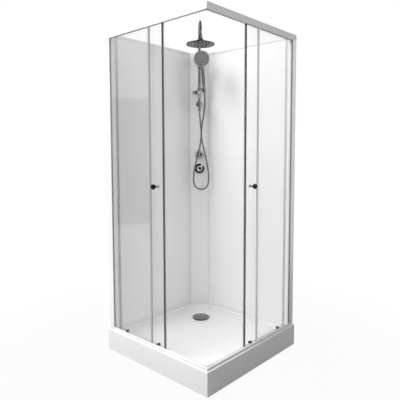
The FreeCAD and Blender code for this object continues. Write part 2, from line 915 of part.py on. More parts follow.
def make_door():
    """Glass, leading profile, magnet strip, tail seal, knobs, roller hubs and wheels of a door."""
    near = s.door_depth
    far = DOOR_INNER
    edge_out = near - (s.door_edge_thick - s.glass_thick) / 2
    edge_in = edge_out + s.door_edge_thick
    edge_start = DOOR_LEAD - s.door_edge_width
    glass_end = DOOR_LEAD - s.door_edge_web
    glass_start = DOOR_TAIL + s.tail_seal_wall
    foot = RAIL_HEAD + s.door_edge_clearance
    length = RAIL_UNDER - s.door_edge_clearance - foot
    lead_wheel = DOOR_LEAD - s.wheel_lead_inset
    tail_wheel = DOOR_TAIL + s.wheel_tail_inset
    axles = {
        "top_lead": (lead_wheel, TOP_AXLE),
        "top_tail": (tail_wheel, TOP_AXLE),
        "bottom_lead": (lead_wheel, BOTTOM_AXLE),
        "bottom_tail": (tail_wheel, BOTTOM_AXLE),
    }
    knob_x = DOOR_LEAD - s.knob_inset

    pane = box((glass_start, inward(near), DOOR_FOOT), (glass_end - s.joint_gap, inward(far), DOOR_HEAD))
    holes = []
    for x, z in axles.values():
        start = (x, inward(near - s.overrun), z)
        holes.append(rod(start, "y", s.axle_radius + s.joint_gap, s.glass_thick + 2 * s.overrun))
    start = (knob_x, inward(near - s.overrun), s.knob_height)
    holes.append(rod(start, "y", s.knob_stem_radius + s.joint_gap, s.glass_thick + 2 * s.overrun))
    both_sides("door_glass", cut(pane, *holes))

    clip = [
        (edge_start, inward(edge_out)),
        (DOOR_LEAD, inward(edge_out)),
        (DOOR_LEAD, inward(edge_in)),
        (edge_start, inward(edge_in)),
        (edge_start, inward(far + s.joint_gap)),
        (glass_end, inward(far + s.joint_gap)),
        (glass_end, inward(near - s.joint_gap)),
        (edge_start, inward(near - s.joint_gap)),
    ]
    both_sides("door_edge", prism("DoorEdge", "XY_Plane", [clip], foot, length))

    magnet_out = near - (s.magnet_thick - s.glass_thick) / 2
    magnet_in = magnet_out + s.magnet_thick
    magnet_end = DOOR_LEAD + s.magnet_reach
    magnet = [
        (DOOR_LEAD, inward(magnet_out)),
        (magnet_end, inward(magnet_out)),
        (magnet_end - s.magnet_thick, inward(magnet_in)),
        (DOOR_LEAD, inward(magnet_in)),
    ]
    strip = prism("MagnetStrip", "XY_Plane", [magnet], foot, length)
    wall = s.tail_seal_wall
    grip_end = DOOR_TAIL + s.tail_seal_width
    out = near - s.joint_gap
    inside = far + s.joint_gap
    tail = [
        (DOOR_TAIL, inward(out - s.tail_fin_reach)),
        (DOOR_TAIL + wall, inward(out - s.tail_fin_reach)),
        (DOOR_TAIL + wall, inward(out - wall)),
        (grip_end, inward(out - wall)),
        (grip_end, inward(out)),
        (glass_start, inward(out)),
        (glass_start, inward(inside)),
        (grip_end, inward(inside)),
        (grip_end, inward(inside + wall)),
        (DOOR_TAIL, inward(inside + wall)),
    ]
    seal = prism("TailSeal", "XY_Plane", [tail], foot, length)
    both_sides("door_seals", group(strip, seal))

    make_knobs(knob_x)
    hubs = []
    for x, z in axles.values():
        hubs.append(roller_hub(x, z))
    both_sides("roller_hubs", group(*hubs))
    for name, (x, z) in axles.items():
        tyre = rod((x, inward(WHEEL_OUTER), z), "y", s.wheel_radius, s.wheel_width)
        start = (x, inward(WHEEL_OUTER - s.overrun), z)
        bore = rod(start, "y", s.axle_radius + s.axle_play, s.wheel_width + 2 * s.overrun)
        both_sides(f"wheel_{name}", cut(tyre, bore))


def make_knobs(x):
    """A turned knob outside the glass and a smaller one inside it, on one stem."""
    z = s.knob_height
    stem = s.knob_stem_radius
    neck = s.knob_neck_length
    out = s.door_depth - s.joint_gap / 2
    inside = DOOR_INNER + s.joint_gap / 2
    outer = fuse(
        turned_grip(x, out, "-y", s.knob_radius, s.knob_length),
        rod((x, inward(out), z), "y", stem, s.glass_thick + neck),
    )
    inner = turned_grip(x, inside, "y", s.inner_knob_radius, s.inner_knob_length)
    socket_depth = s.glass_thick + neck + s.overrun
    socket = rod((x, inward(inside - s.overrun), z), "y", stem + s.axle_play, socket_depth)
    both_sides("door_knobs", group(outer, cut(inner, socket)))


def turned_grip(x, start, axis, radius, length):
    """A round head on a neck, with a bevel at both ends of the head."""
    z = s.knob_height
    neck = s.knob_neck_length
    edge = s.knob_bevel
    away = -1 if axis == "-y" else 1
    return fuse(
        rod((x, inward(start), z), axis, s.knob_neck_radius, neck),
        cone((x, inward(start + away * (neck - edge)), z), axis, s.knob_neck_radius, radius, edge),
        rod((x, inward(start + away * neck), z), axis, radius, length - neck - edge),
        cone((x, inward(start + away * (length - edge)), z), axis, radius, radius - edge, edge),
    )


def roller_hub(x, z):
    """The axle of a roller, with a cap outside the wheel, a flange on the glass and a nut inside it."""
    start = WHEEL_OUTER - s.joint_gap / 2
    cap = rod((x, inward(start), z), "-y", s.axle_cap_radius, s.axle_cap_thick)
    axle = rod((x, inward(start), z), "y", s.axle_radius, DOOR_INNER + s.hub_nut_thick - start)
    flange_start = s.door_depth - s.hub_flange_thick
    flange = rod((x, inward(flange_start), z), "y", s.hub_flange_radius, s.hub_flange_thick)
    nut = rod((x, inward(DOOR_INNER), z), "y", s.hub_nut_radius, s.hub_nut_thick)
    return fuse(cap, axle, flange, nut)


# Shower set on the column. Here X runs along the column's face, -Y into the cabin, and Y = 0 is the face.

def riser_ring(height, length, radius):
    """A collar round the riser, centred on a height, and the bore that the riser passes through."""
    foot = height - length / 2
    collar = rod((ZERO, -s.riser_stand, foot), "z", radius, length)
    start = (ZERO, -s.riser_stand, foot - s.overrun)
    bore = rod(start, "z", s.riser_radius + s.axle_play, length + 2 * s.overrun)
    return collar, bore


def make_riser():
    """The riser with its hose outlet, its two wall brackets and the arm that bends over the user."""
    y = -s.riser_stand
    pipe = rod((ZERO, y, s.riser_bottom), "z", s.riser_radius, s.riser_top - s.riser_bottom)
    outlet_foot = s.riser_bottom - s.outlet_length
    outlet = rod((ZERO, y, outlet_foot), "z", s.outlet_radius, s.outlet_length + s.overrun)
    node("riser_pipe", at_column(fuse(pipe, outlet)))

    brackets = []
    for height in (s.riser_bracket_low, s.riser_bracket_high):
        collar, bore = riser_ring(height, s.riser_bracket_height, s.riser_bracket_radius)
        rose = rod((ZERO, ZERO, height), "-y", s.riser_rose_radius, s.riser_rose_thick)
        stem = rod((ZERO, ZERO, height), "-y", s.riser_stem_radius, s.riser_stand)
        screw_reach = s.riser_bracket_radius + s.riser_screw_length
        screw = rod((ZERO, y, height), "-x", s.riser_screw_radius, screw_reach)
        brackets.append(cut(fuse(collar, rose, stem, screw), bore))
    node("riser_brackets", at_column(group(*brackets)))

    bend = s.arm_reach / 2
    arch = doc.addObject("Part::Torus", "Arch")
    bind(arch, "Radius1", bend)
    bind(arch, "Radius2", s.riser_radius)
    arch.Angle3 = 180
    upright_arch = FreeCAD.Rotation(FreeCAD.Vector(1, 1, 1), 120)
    place(arch, (ZERO, y - bend, s.riser_top), upright_arch)
    sleeve_length = s.arm_sleeve_length
    start = (ZERO, y, s.riser_top - sleeve_length)
    sleeve = rod(start, "z", s.arm_joint_radius, sleeve_length + s.arm_sleeve_rise)
    start = (ZERO, y, s.riser_top - sleeve_length - s.overrun)
    bore = rod(start, "z", s.riser_radius + s.axle_play, sleeve_length + s.overrun)
    tip = (ZERO, y - s.arm_reach, s.riser_top)
    joint = cone(tip, "-z", s.riser_radius, s.arm_joint_radius, s.arm_joint_length)
    neck = rod(tip, "-z", s.arm_neck_radius, s.arm_joint_length + s.ball_drop)
    knuckle = ball(ball_centre(), s.ball_radius)
    node("overhead_arm", at_column(cut(fuse(arch, sleeve, joint, neck, knuckle), bore)))


def ball_centre():
    """The point that the overhead shower swivels about."""
    return (ZERO, -s.riser_stand - s.arm_reach, s.riser_top - s.arm_joint_length - s.ball_drop)


def dome(centre, foot, radius, rise):
    """A shallow cap: the part of a large ball inside a short cylinder that stands on a height."""
    x, y = centre
    curve = (radius * radius + rise * rise) / (2 * rise)
    shared = doc.addObject("Part::MultiCommon", "Dome")
    shared.Shapes = [rod((x, y, foot), "z", radius, rise), ball((x, y, foot + rise - curve), curve)]
    return shared


def make_overhead_shower():
    """The swivel ring, the domed head with its socket, and the nozzle plate under it."""
    x, y, z = ball_centre()
    hollow = s.ball_radius + s.ball_play
    ring = rod((x, y, z + s.ring_bottom), "z", s.ring_radius, s.ring_top - s.ring_bottom)
    node("swivel_ring", at_column(cut(ring, ball((x, y, z), hollow))))

    foot = z - s.head_drop
    shoulder = foot + s.head_edge
    edge = rod((x, y, foot), "z", s.head_radius, s.head_edge)
    crown = dome((x, y), shoulder, s.head_radius, s.head_dome)
    socket_foot = shoulder + s.head_dome - s.head_edge / 2
    socket = rod((x, y, socket_foot), "z", s.socket_radius, z - s.socket_top - socket_foot)
    face_radius = s.head_radius - s.head_face_inset
    recess = rod((x, y, foot - s.overrun), "z", face_radius + s.joint_gap, s.overrun + s.head_face_thick)
    node("rain_head", at_column(cut(fuse(edge, crown, socket), recess, ball((x, y, z), hollow))))
    plate = rod((x, y, foot), "z", face_radius, s.head_face_thick)
    node("rain_head_face", at_column(group(plate)))


def handset_turn():
    """The turn from upright to the handset's lean to the left and tilt into the cabin."""
    tilt = FreeCAD.Rotation(FreeCAD.Vector(1, 0, 0), float(s.handset_tilt))
    lean = FreeCAD.Rotation(FreeCAD.Vector(0, 1, 0), -float(s.handset_lean))
    return tilt * lean


def tilted(piece):
    """Turn a piece that is drawn about the handle's axis into the cradle's lean and tilt."""
    return place(group(piece), (s.cradle_offset, -s.riser_stand, s.slider_height), handset_turn())


def make_hand_shower():
    """The slider on the riser, the tilting cradle, the handset, its spray face and its hose nut."""
    y = -s.riser_stand
    z = s.slider_height
    collar, bore = riser_ring(z, s.slider_length, s.slider_radius)
    boss_end = s.cradle_offset - s.cradle_radius - s.pivot_gap
    boss_start = s.riser_radius + s.axle_play
    boss = rod((boss_start, y, z), "x", s.pivot_radius, boss_end - boss_start)
    pin = rod((boss_start, y, z), "x", s.pivot_pin_radius, boss_end - boss_start + s.pivot_pin_length)
    node("hand_slider", at_column(cut(fuse(collar, boss, pin), bore)))

    half = s.cradle_length / 2
    ring = tilted(rod((ZERO, ZERO, -half), "z", s.cradle_radius, s.cradle_length))
    hub_start = boss_end + s.joint_gap
    hub = rod((hub_start, y, z), "x", s.pivot_radius, s.cradle_offset - hub_start)
    hole_length = boss_end - boss_start + s.pivot_hole_length
    hole = rod((boss_start, y, z), "x", s.pivot_pin_radius + s.axle_play, hole_length)
    socket_foot = (ZERO, ZERO, -half - s.overrun)
    socket = tilted(rod(socket_foot, "z", s.cradle_bore, s.cradle_length + 2 * s.overrun))
    node("handset_cradle", at_column(cut(fuse(ring, hub), hole, socket)))

    foot = rod((ZERO, ZERO, -half), "z", s.handle_foot_radius, s.cradle_length)
    taper = cone((ZERO, ZERO, half), "z", s.handle_foot_radius, s.handle_radius, half)
    grip = rod((ZERO, ZERO, 2 * half), "z", s.handle_radius, s.handle_length - 2 * half)
    centre = s.handset_centre
    thick = s.handset_thick
    back = s.handset_back_bevel
    disc = rod((ZERO, thick / 2, centre), "-y", s.handset_radius, thick)
    rear = cone((ZERO, thick / 2, centre), "y", s.handset_radius, s.handset_radius - 2 * back, back)
    node("handset", at_column(group(tilted(fuse(foot, taper, grip, disc, rear)))))
    face = rod((ZERO, -thick / 2, centre), "-y", s.handset_face_radius, s.handset_face_thick)
    node("handset_face", at_column(group(tilted(face))))
    nut = cone((ZERO, ZERO, -half - s.nut_length), "z", s.nut_tip_radius, s.nut_radius, s.nut_length)
    node("handset_nut", at_column(group(tilted(nut))))


# The hose leaves the riser's outlet, hangs in a loop below the mixer and comes up to the handset.
# Each point is its place along the column's face, its distance from the face, and its height.
# The first and the last point lie in the mouths of the two nuts.

HOSE_POINTS = [
    (0.0, 60.0, 1637.4),
    (5.0, 59.0, 1570.0),
    (13.0, 54.0, 1500.0),
    (12.0, 51.0, 1435.0),
    (2.0, 55.0, 1365.0),
    (-16.0, 61.0, 1295.0),
    (-36.0, 62.0, 1225.0),
    (-47.0, 61.0, 1150.0),
    (-46.0, 59.0, 1077.0),
    (-13.0, 58.0, 1043.0),
    (35.0, 58.0, 1042.0),
    (68.0, 59.0, 1076.0),
    (70.0, 61.0, 1150.0),
    (61.0, 65.0, 1225.0),
    (43.0, 70.0, 1310.0),
    (22.0, 75.0, 1390.0),
    (12.0, 76.0, 1460.0),
    (18.0, 72.0, 1535.0),
    (33.0, 58.0, 1615.0),
    (44.3, 41.9, 1707.1),
    (39.1, 53.3, 1765.4),
]
BEND_SHARE = 0.45


def hose_path(points):
    """Straight runs joined by tangent arcs, each as large as its two runs allow."""
    places = [FreeCAD.Vector(along, -out, up) for along, out, up in points]
    edges = []
    radii = []
    last = places[0]
    for before, corner, after in zip(places, places[1:], places[2:]):
        back = before - corner
        ahead = after - corner
        shorter = min(back.Length, ahead.Length)
        half_turn = (math.pi - back.getAngle(ahead)) / 2
        radius = BEND_SHARE * shorter / math.tan(half_turn)
        radii.append(radius)
        start = corner + back.normalize() * (BEND_SHARE * shorter)
        end = corner + ahead.normalize() * (BEND_SHARE * shorter)
        bisector = (back + ahead).normalize()
        middle = corner + bisector * (radius / math.cos(half_turn) - radius)
        edges.append(Part.LineSegment(last, start).toShape())
        edges.append(Part.Arc(start, middle, end).toShape())
        last = end
    edges.append(Part.LineSegment(last, places[-1]).toShape())
    return edges, radii


def make_hose():
    """The shower hose as one tube along its route, and the nut on the riser's outlet."""
    edges, radii = hose_path(HOSE_POINTS)
    wire = Part.Wire(edges)
    start = wire.Edges[0]
    tangent = start.tangentAt(start.FirstParameter)
    ring = Part.Circle(start.valueAt(start.FirstParameter), tangent, float(s.hose_radius))
    tube = wire.makePipeShell([Part.Wire([ring.toShape()])], True, False)
    hose = doc.addObject("Part::Feature", "Hose")
    hose.Shape = tube
    at_column(hose)
    node("shower_hose", hose)
    expected = math.pi * float(s.hose_radius) ** 2 * wire.Length
    print("hose length", round(wire.Length, 1), "volume share", round(tube.Volume / expected, 4))
    print("hose radii", [round(radius) for radius in radii])

    foot = (ZERO, -s.riser_stand, s.riser_bottom - s.nut_length)
    shell = cone(foot, "z", s.nut_tip_radius, s.nut_radius, s.nut_length)
    start = (ZERO, -s.riser_stand, s.riser_bottom - s.outlet_length)
    thread = rod(start, "z", s.outlet_radius + s.axle_play, s.outlet_length + s.overrun)
    node("outlet_nut", at_column(cut(shell, thread)))


def make_soap_dish():
    """An oval dish in front of the riser, on a collar of its own that slides on it."""
    z = s.dish_collar_height
    collar, bore = riser_ring(z, s.dish_collar_length, s.riser_bracket_radius)
    rear = s.riser_stand + s.riser_radius + s.dish_gap
    y = -rear - s.dish_half_depth
    x = -s.dish_shift
    dish_foot = z + s.dish_lift
    shells = []
    for inset, foot in ((ZERO, dish_foot), (s.dish_wall, dish_foot + s.dish_wall)):
        oval = doc.addObject("Part::Ellipse", "Oval")
        bind(oval, "MajorRadius", s.dish_half_depth - inset)
        bind(oval, "MinorRadius", s.dish_half_width - inset)
        oval.Placement = FreeCAD.Placement(FreeCAD.Vector(), FreeCAD.Rotation(FreeCAD.Vector(0, 0, 1), 90))
        place(oval, (x, y, foot))
        tray = doc.addObject("Part::Extrusion", "OvalTray")
        tray.Base = oval
        tray.Dir = FreeCAD.Vector(0, 0, 1)
        tray.DirMode = "Custom"
        tray.Solid = True
        bind(tray, "LengthFwd", s.dish_rise)
        shells.append(tray)
    width = s.dish_arm_width
    reach = rear + width
    arm_foot = z - s.dish_collar_length / 2
    arm_start = -s.riser_stand - s.riser_radius - s.axle_play
    arm = box((-width, -reach, arm_foot), (ZERO, arm_start, arm_foot + s.dish_gap))
    post = box((-width, -reach, arm_foot), (ZERO, -rear, dish_foot + s.dish_wall))
    slots = []
    half_slot = s.dish_wall / 2
    for share in (-1, 0, 1):
        slot_x = x + share * s.dish_slot_step
        low = (slot_x - half_slot, y - s.dish_slot_step, dish_foot - s.overrun)
        slots.append(box(low, (slot_x + half_slot, y + s.dish_slot_step, dish_foot + s.overrun)))
    node("soap_dish", at_column(cut(fuse(collar, arm, post, shells[0]), bore, shells[1], *slots)))


# Controls

def make_valve(name, height, rose_radius, inlets):
    """A wall rose and sleeve in front of the panel, with the valve's body behind it."""
    centre = (ZERO, ZERO, height)
    front = s.rose_thick + s.sleeve_length
    rose = rod(centre, "-y", rose_radius, s.rose_thick)
    sleeve = rod(centre, "-y", s.sleeve_radius, front)
    valve = rod(centre, "y", s.valve_radius, s.valve_depth)
    spindle = rod(centre, "-y", s.spindle_radius, front + s.spindle_length)
    node(name, at_column(fuse(rose, sleeve, valve, spindle, *inlets)))


def make_controls():
    """The diverter with its knob, and the mixer with its cap and lifting lever."""
    make_valve("diverter_body", DIVERTER_HEIGHT, s.diverter_rose_radius, ())
    front = s.rose_thick + s.sleeve_length + s.joint_gap
    bore_radius = s.spindle_radius + s.axle_play
    bore_length = front + s.spindle_length + s.joint_gap
    z = DIVERTER_HEIGHT
    knob = rod((ZERO, -front, z), "-y", s.diverter_knob_radius, s.diverter_knob_length)
    half = s.knob_ridge_width / 2
    reach = s.diverter_knob_radius - half
    ridge_back = -front - s.diverter_knob_length
    ridge = box((-half, ridge_back - s.knob_ridge_height, z - reach), (half, ridge_back, z + reach))
    bore = rod((ZERO, ZERO, z), "-y", bore_radius, bore_length)
    node("diverter_knob", at_column(cut(fuse(knob, ridge), bore)))

    z = s.mixer_height
    inlets = []
    for side in (-1, 1):
        start = (s.inlet_offset * side, s.inlet_depth, z)
        inlets.append(rod(start, "y", s.inlet_collar_radius, s.inlet_collar_length))
        inlets.append(rod(start, "y", s.inlet_radius, s.inlet_collar_length + s.inlet_length))
    make_valve("mixer_body", s.mixer_height, s.mixer_rose_radius, inlets)

    cap = rod((ZERO, -front, ZERO), "-y", s.mixer_cap_radius, s.mixer_cap_length)
    bore = rod((ZERO, ZERO, ZERO), "-y", bore_radius, bore_length)
    face = front + s.mixer_cap_length
    half = s.lever_width / 2
    tail = s.lever_tail
    floor = face - s.lever_thick - s.lever_floor
    slot = box(
        (-half - s.joint_gap, -face - s.overrun, -tail - s.lever_floor),
        (half + s.joint_gap, -floor, s.mixer_cap_radius + s.overrun),
    )
    pivot_y = -face + s.lever_thick / 2
    pin_half = half + s.lever_pin_reach
    hole_half = pin_half + s.joint_gap
    hole = rod((-hole_half, pivot_y, ZERO), "x", s.lever_pivot_radius + s.axle_play, 2 * hole_half)
    turn = FreeCAD.Rotation(FreeCAD.Vector(0, 1, 0), float(s.lever_angle))
    centre = (ZERO, ZERO, z)
    node("mixer_cap", at_column(group(place(group(cut(cap, bore, slot, hole)), centre, turn))))
    lever = box((-half, -face, -tail), (half, -face + s.lever_thick, s.lever_length))
    pin = rod((-pin_half, pivot_y, ZERO), "x", s.lever_pivot_radius, 2 * pin_half)
    node("mixer_lever", at_column(group(place(group(fuse(lever, pin)), centre, turn))))


def make_supply_pipes():
    """Pipes behind the column: mixer to diverter, and diverter to each riser bracket."""
    near = s.pipe_depth
    far = near + 2 * s.pipe_radius + s.pipe_gap
    start = s.mixer_height + s.valve_radius
    feed = rod((ZERO, near, start), "z", s.pipe_radius, DIVERTER_HEIGHT - s.valve_radius - start)
    pipes = [feed]
    start = DIVERTER_HEIGHT + s.valve_radius
    for depth, height in ((near, s.riser_bracket_low), (far, s.riser_bracket_high)):
        rise = rod((ZERO, depth, start), "z", s.pipe_radius, height - start)
        elbow = ball((ZERO, depth, height), s.pipe_radius)
        branch = rod((ZERO, depth, height), "-y", s.pipe_radius, depth)
        pipes.append(fuse(rise, elbow, branch))
    node("supply_pipes", at_column(group(*pipes)))


make_tray()
make_feet()
make_waste()
make_rear_walls()
make_column()
make_uprights()
make_rails()
make_corner_brackets()
make_fixed_glass()
make_door()
make_riser()
make_overhead_shower()
make_hand_shower()
make_hose()
make_soap_dish()
make_controls()
make_supply_pipes()
doc.recompute()

# Nothing is written unless every object and every node is sound

faults = []
for thing in doc.Objects:
    if "Invalid" in thing.State or "Error" in thing.State:
        faults.append(f"{thing.Label} is {thing.State}")
for label, thing in nodes.items():
    if thing.Shape.isNull() or not thing.Shape.isValid() or not thing.Shape.Solids:
        faults.append(f"{label} has no valid solid")
if faults:
    raise ValueError("; ".join(faults))

os.makedirs("parts", exist_ok=True)
for label, thing in nodes.items():
    thing.Shape.exportStep(f"parts/{label}.step")
print(len(nodes), "nodes,", sum(len(thing.Shape.Solids) for thing in nodes.values()), "solids")
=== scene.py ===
import math

import bmesh
import bpy
import numpy as np
from mathutils import Matrix, Vector


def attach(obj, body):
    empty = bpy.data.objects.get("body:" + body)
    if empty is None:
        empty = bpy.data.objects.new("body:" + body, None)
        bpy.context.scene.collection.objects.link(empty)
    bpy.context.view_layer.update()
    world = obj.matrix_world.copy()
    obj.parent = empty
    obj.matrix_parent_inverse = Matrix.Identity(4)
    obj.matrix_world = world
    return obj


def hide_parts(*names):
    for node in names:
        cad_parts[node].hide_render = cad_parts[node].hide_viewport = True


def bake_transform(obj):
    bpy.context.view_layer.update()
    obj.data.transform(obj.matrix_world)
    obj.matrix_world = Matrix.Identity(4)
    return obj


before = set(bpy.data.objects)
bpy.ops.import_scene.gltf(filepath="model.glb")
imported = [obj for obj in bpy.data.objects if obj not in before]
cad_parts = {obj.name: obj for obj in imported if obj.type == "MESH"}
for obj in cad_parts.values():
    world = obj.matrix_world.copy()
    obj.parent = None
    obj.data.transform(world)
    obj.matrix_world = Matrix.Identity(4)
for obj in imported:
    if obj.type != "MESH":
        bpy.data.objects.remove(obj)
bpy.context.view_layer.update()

# Pieces are drawn in millimetres and brought to metres when they are made. The camera, the
# stage and the numbers inside materials are in metres.
# Column pieces are drawn as someone in the cabin sees them: X along the column's face, -Y out
# from it, Z up from the floor. Side pieces are drawn on the left side, which is the -Y face, and
# mirrored for the right.


def shift(x, y, z):
    return Matrix.Translation((x, y, z))


def turn(degrees, axis):
    return Matrix.Rotation(math.radians(degrees), 4, axis)


MM = 0.001
TRAY_HALF = 450
GLASS_FACE = 440
COLUMN_DEPTH = 112
COLUMN_AT = TRAY_HALF - COLUMN_DEPTH * math.sqrt(0.5)
UNMOVED = Matrix.Identity(4)
CABIN = Matrix.Scale(MM, 4)
COLUMN = shift(-COLUMN_AT * MM, COLUMN_AT * MM, 0) @ turn(45, "Z") @ CABIN
SIDES = {
    "left": UNMOVED,
    "right": Matrix(((0, -1, 0, 0), (-1, 0, 0, 0), (0, 0, 1, 0), (0, 0, 0, 1))),
}
RISER_OUT = 60
SLIDER_HEIGHT = 1800
HANDSET = COLUMN @ shift(36, -RISER_OUT, SLIDER_HEIGHT) @ turn(11, "X") @ turn(-5, "Y")
SPRAY_HEIGHT = 230
ARM_HEIGHT = 2158
BALL_CENTRE = (0, -285, 2132)
HEAD_FOOT = 2082
DIVERTER_AT = (0, -20.3, 1309)
MIXER_FACE_AT = (0, -40.3, 1202)
DOOR_KNOBS = {"x": 9, "height": 1122}
WASTE_AT = (-200, 200, 0)


def stood(name, data):
    """A new object, linked into the scene."""
    obj = bpy.data.objects.new(name, data)
    bpy.context.scene.collection.objects.link(obj)
    return obj


# Camera, at the photograph's place and angle

def stand_camera(place, yaw, pitch, roll, lens, offset):
    yaw, pitch, roll = (math.radians(angle) for angle in (yaw, pitch, roll))
    flat = math.cos(pitch)
    ahead = Vector((-math.sin(yaw) * flat, math.cos(yaw) * flat, math.sin(pitch)))
    level = Vector((math.cos(yaw), math.sin(yaw), 0))
    above = level.cross(ahead)
    right = math.cos(roll) * level + math.sin(roll) * above
    up = math.cos(roll) * above - math.sin(roll) * level
    data = bpy.data.cameras.new("view")
    data.lens = lens
    data.sensor_width = 36
    data.shift_x, data.shift_y = offset
    camera = stood("view", data)
    facing = Matrix((right, up, -ahead)).transposed().to_4x4()
    camera.matrix_world = shift(*place) @ facing
    bpy.context.scene.camera = camera


stand_camera(
    place=(1.947, -2.1161, 1.3185), yaw=42.095, pitch=-4.408, roll=-0.083,
    lens=38.930, offset=(-0.0153, -0.0329),
)


# Finishes. A Wire is a socket with arithmetic, and a Finish is one material being made.

class Wire:
    """A value in a material."""

    def __init__(self, finish, socket):
        self.finish = finish
        self.socket = socket

    def worked(self, operation, *values):
        return self.finish.add("ShaderNodeMath", {"operation": operation}, dict(enumerate(values)))

    def __add__(self, other):
        return self.worked("ADD", self, other)

    def __mul__(self, other):
        return self.worked("MULTIPLY", self, other)

    def __pow__(self, power):
        return self.worked("POWER", self, power)

    def __rsub__(self, other):
        return self.worked("SUBTRACT", other, self)

    __radd__ = __add__

    def between(self, low, high):
        """0 below low, 1 above high, and a smooth rise between them."""
        settings = {"interpolation_type": "SMOOTHSTEP"}
        values = {"Value": self, "From Min": low, "From Max": high}
        return self.finish.add("ShaderNodeMapRange", settings, values)


class Finish:
    """The nodes of one procedural material, or of the world."""

    def __init__(self, name, world=False):
        self.owner = (bpy.data.worlds if world else bpy.data.materials).new(name)
        self.owner.use_nodes = True
        self.tree = self.owner.node_tree
        self.tree.nodes.clear()
        kind = "ShaderNodeOutputWorld" if world else "ShaderNodeOutputMaterial"
        self.out = self.tree.nodes.new(kind)

    def add(self, kind, settings=None, values=None, output=0):
        """A node. Its settings, its inputs' values or Wires, and the output that is wanted."""
        node = self.tree.nodes.new(kind)
        for key, value in (settings or {}).items():
            setattr(node, key, value)
        for key, value in (values or {}).items():
            socket = node.inputs[key]
            if isinstance(value, Wire):
                self.tree.links.new(value.socket, socket)
            elif socket.type == "RGBA" and not isinstance(value, (int, float)):
                socket.default_value = (*value, 1)
            else:
                socket.default_value = value
        return Wire(self, node.outputs[output])

    def place(self, stretch=(1, 1, 1)):
        """Object coordinates, drawn out where stretch is small."""
        where = self.add("ShaderNodeTexCoord", output="Object")
        return self.add("ShaderNodeMapping", {}, {"Vector": where, "Scale": stretch})

    def noise(self, scale, detail, stretch=(1, 1, 1)):
        values = {"Vector": self.place(stretch), "Scale": scale, "Detail": detail}
        return self.add("ShaderNodeTexNoise", {}, values)

    def specks(self, scale, size):
        """1 inside small round spots and 0 between them."""
        values = {"Vector": self.place(), "Scale": scale}
        return 1 - self.add("ShaderNodeTexVoronoi", {}, values).between(size * 0.6, size)

    def height(self):
        return self.add("ShaderNodeSeparateXYZ", {}, {"Vector": self.place()}, output=2)

    def colours(self, share, first, second):
        """A mix of two colours, which are the node's inputs 6 and 7."""
        values = {"Factor": share, 6: first, 7: second}
        return self.add("ShaderNodeMix", {"data_type": "RGBA"}, values, output=2)

    def bump(self, height, depth, strength):
        values = {"Height": height, "Distance": depth, "Strength": strength}
        return self.add("ShaderNodeBump", {}, values)

    def shown(self):
        """1 for what the camera sees, also in metal or through glass, and 0 for light."""
        seen = self.add("ShaderNodeLightPath", output="Is Camera Ray")
        for name in ("Is Glossy Ray", "Is Transmission Ray"):
            seen = seen.worked("MAXIMUM", seen, self.add("ShaderNodeLightPath", output=name))
        return seen

    def mixed(self, share, first, second):
        return self.add("ShaderNodeMixShader", {}, {0: share, 1: first, 2: second})

    def solid(self, **values):
        """A Principled shader. Names are its sockets' names with _ for spaces."""
        named = {key.replace("_", " "): value for key, value in values.items()}
        return self.add("ShaderNodeBsdfPrincipled", {}, named)

    def close(self, shader):
        """Ends in a shader, and gives the material or the world."""
        self.tree.links.new(shader.socket, self.out.inputs["Surface"])
        return self.owner


def grey(level, tint=0.0):
    """A neutral colour, a little cooler with a positive tint."""
    return (level - tint, level, level + tint)


def make_acrylic():
    """White acrylic, cloudy, with a film of dried water on the basin's floor."""
    f = Finish("tray_acrylic")
    floor_low, floor_high = 0.092, 0.108
    cloud = f.noise(5, 3)
    film = f.noise(40, 4) * (1 - f.height().between(floor_low, floor_high))
    colour = f.colours(cloud * 0.6, grey(0.91), grey(0.94, 0.001))
    peel = f.noise(420, 2)
    return f.close(f.solid(
        Base_Color=f.colours(film * 0.12, colour, grey(0.80)),
        Roughness=0.13 + cloud * 0.06 + film * 0.12,
        Coat_Weight=0.35,
        Coat_Roughness=0.05,
        Normal=f.bump(peel, 0.00004, 0.5),
    ))


def make_wall_white():
    """White panel with dried drops here and there."""
    f = Finish("wall_white")
    cloud = f.noise(2.2, 2)
    drops = f.specks(160, 0.16) * f.noise(6, 2).between(0.45, 0.7)
    return f.close(f.solid(
        Base_Color=f.colours(cloud, grey(0.93), grey(0.95, 0.001)),
        Roughness=0.09 + cloud * 0.05 + drops * 0.18,
        Coat_Weight=0.2,
        Normal=f.bump(f.noise(90, 2), 0.00003, 0.4),
    ))


def make_aluminium(name, stretch, dark, bright, metallic):
    """Satin anodised, with its drawing lines along the bar."""
    f = Finish(name)
    lines = f.noise(900, 3, stretch)
    cloud = f.noise(7, 2)
    return f.close(f.solid(
        Base_Color=f.colours(lines * 0.7 + cloud * 0.3, grey(dark), grey(bright, 0.003)),
        Metallic=metallic,
        Roughness=0.24 + lines * 0.16,
        Normal=f.bump(lines, 0.00003, 0.35),
    ))


def make_polished(name, dark, bright, roughness, stretch=(1, 1, 1), metallic=1.0, scratch=0.06):
    """Chrome of one kind, with faint wipe marks and dried drops."""
    f = Finish(name)
    wipes = f.noise(260, 3, stretch)
    drops = f.specks(420, 0.22) * f.noise(30, 2).between(0.5, 0.68)
    return f.close(f.solid(
        Base_Color=f.colours(wipes, grey(dark, 0.004), grey(bright, 0.004)),
        Metallic=metallic,
        Roughness=roughness + wipes * scratch + drops * 0.15,
        Normal=f.bump(wipes, 0.000008, 0.4),
    ))


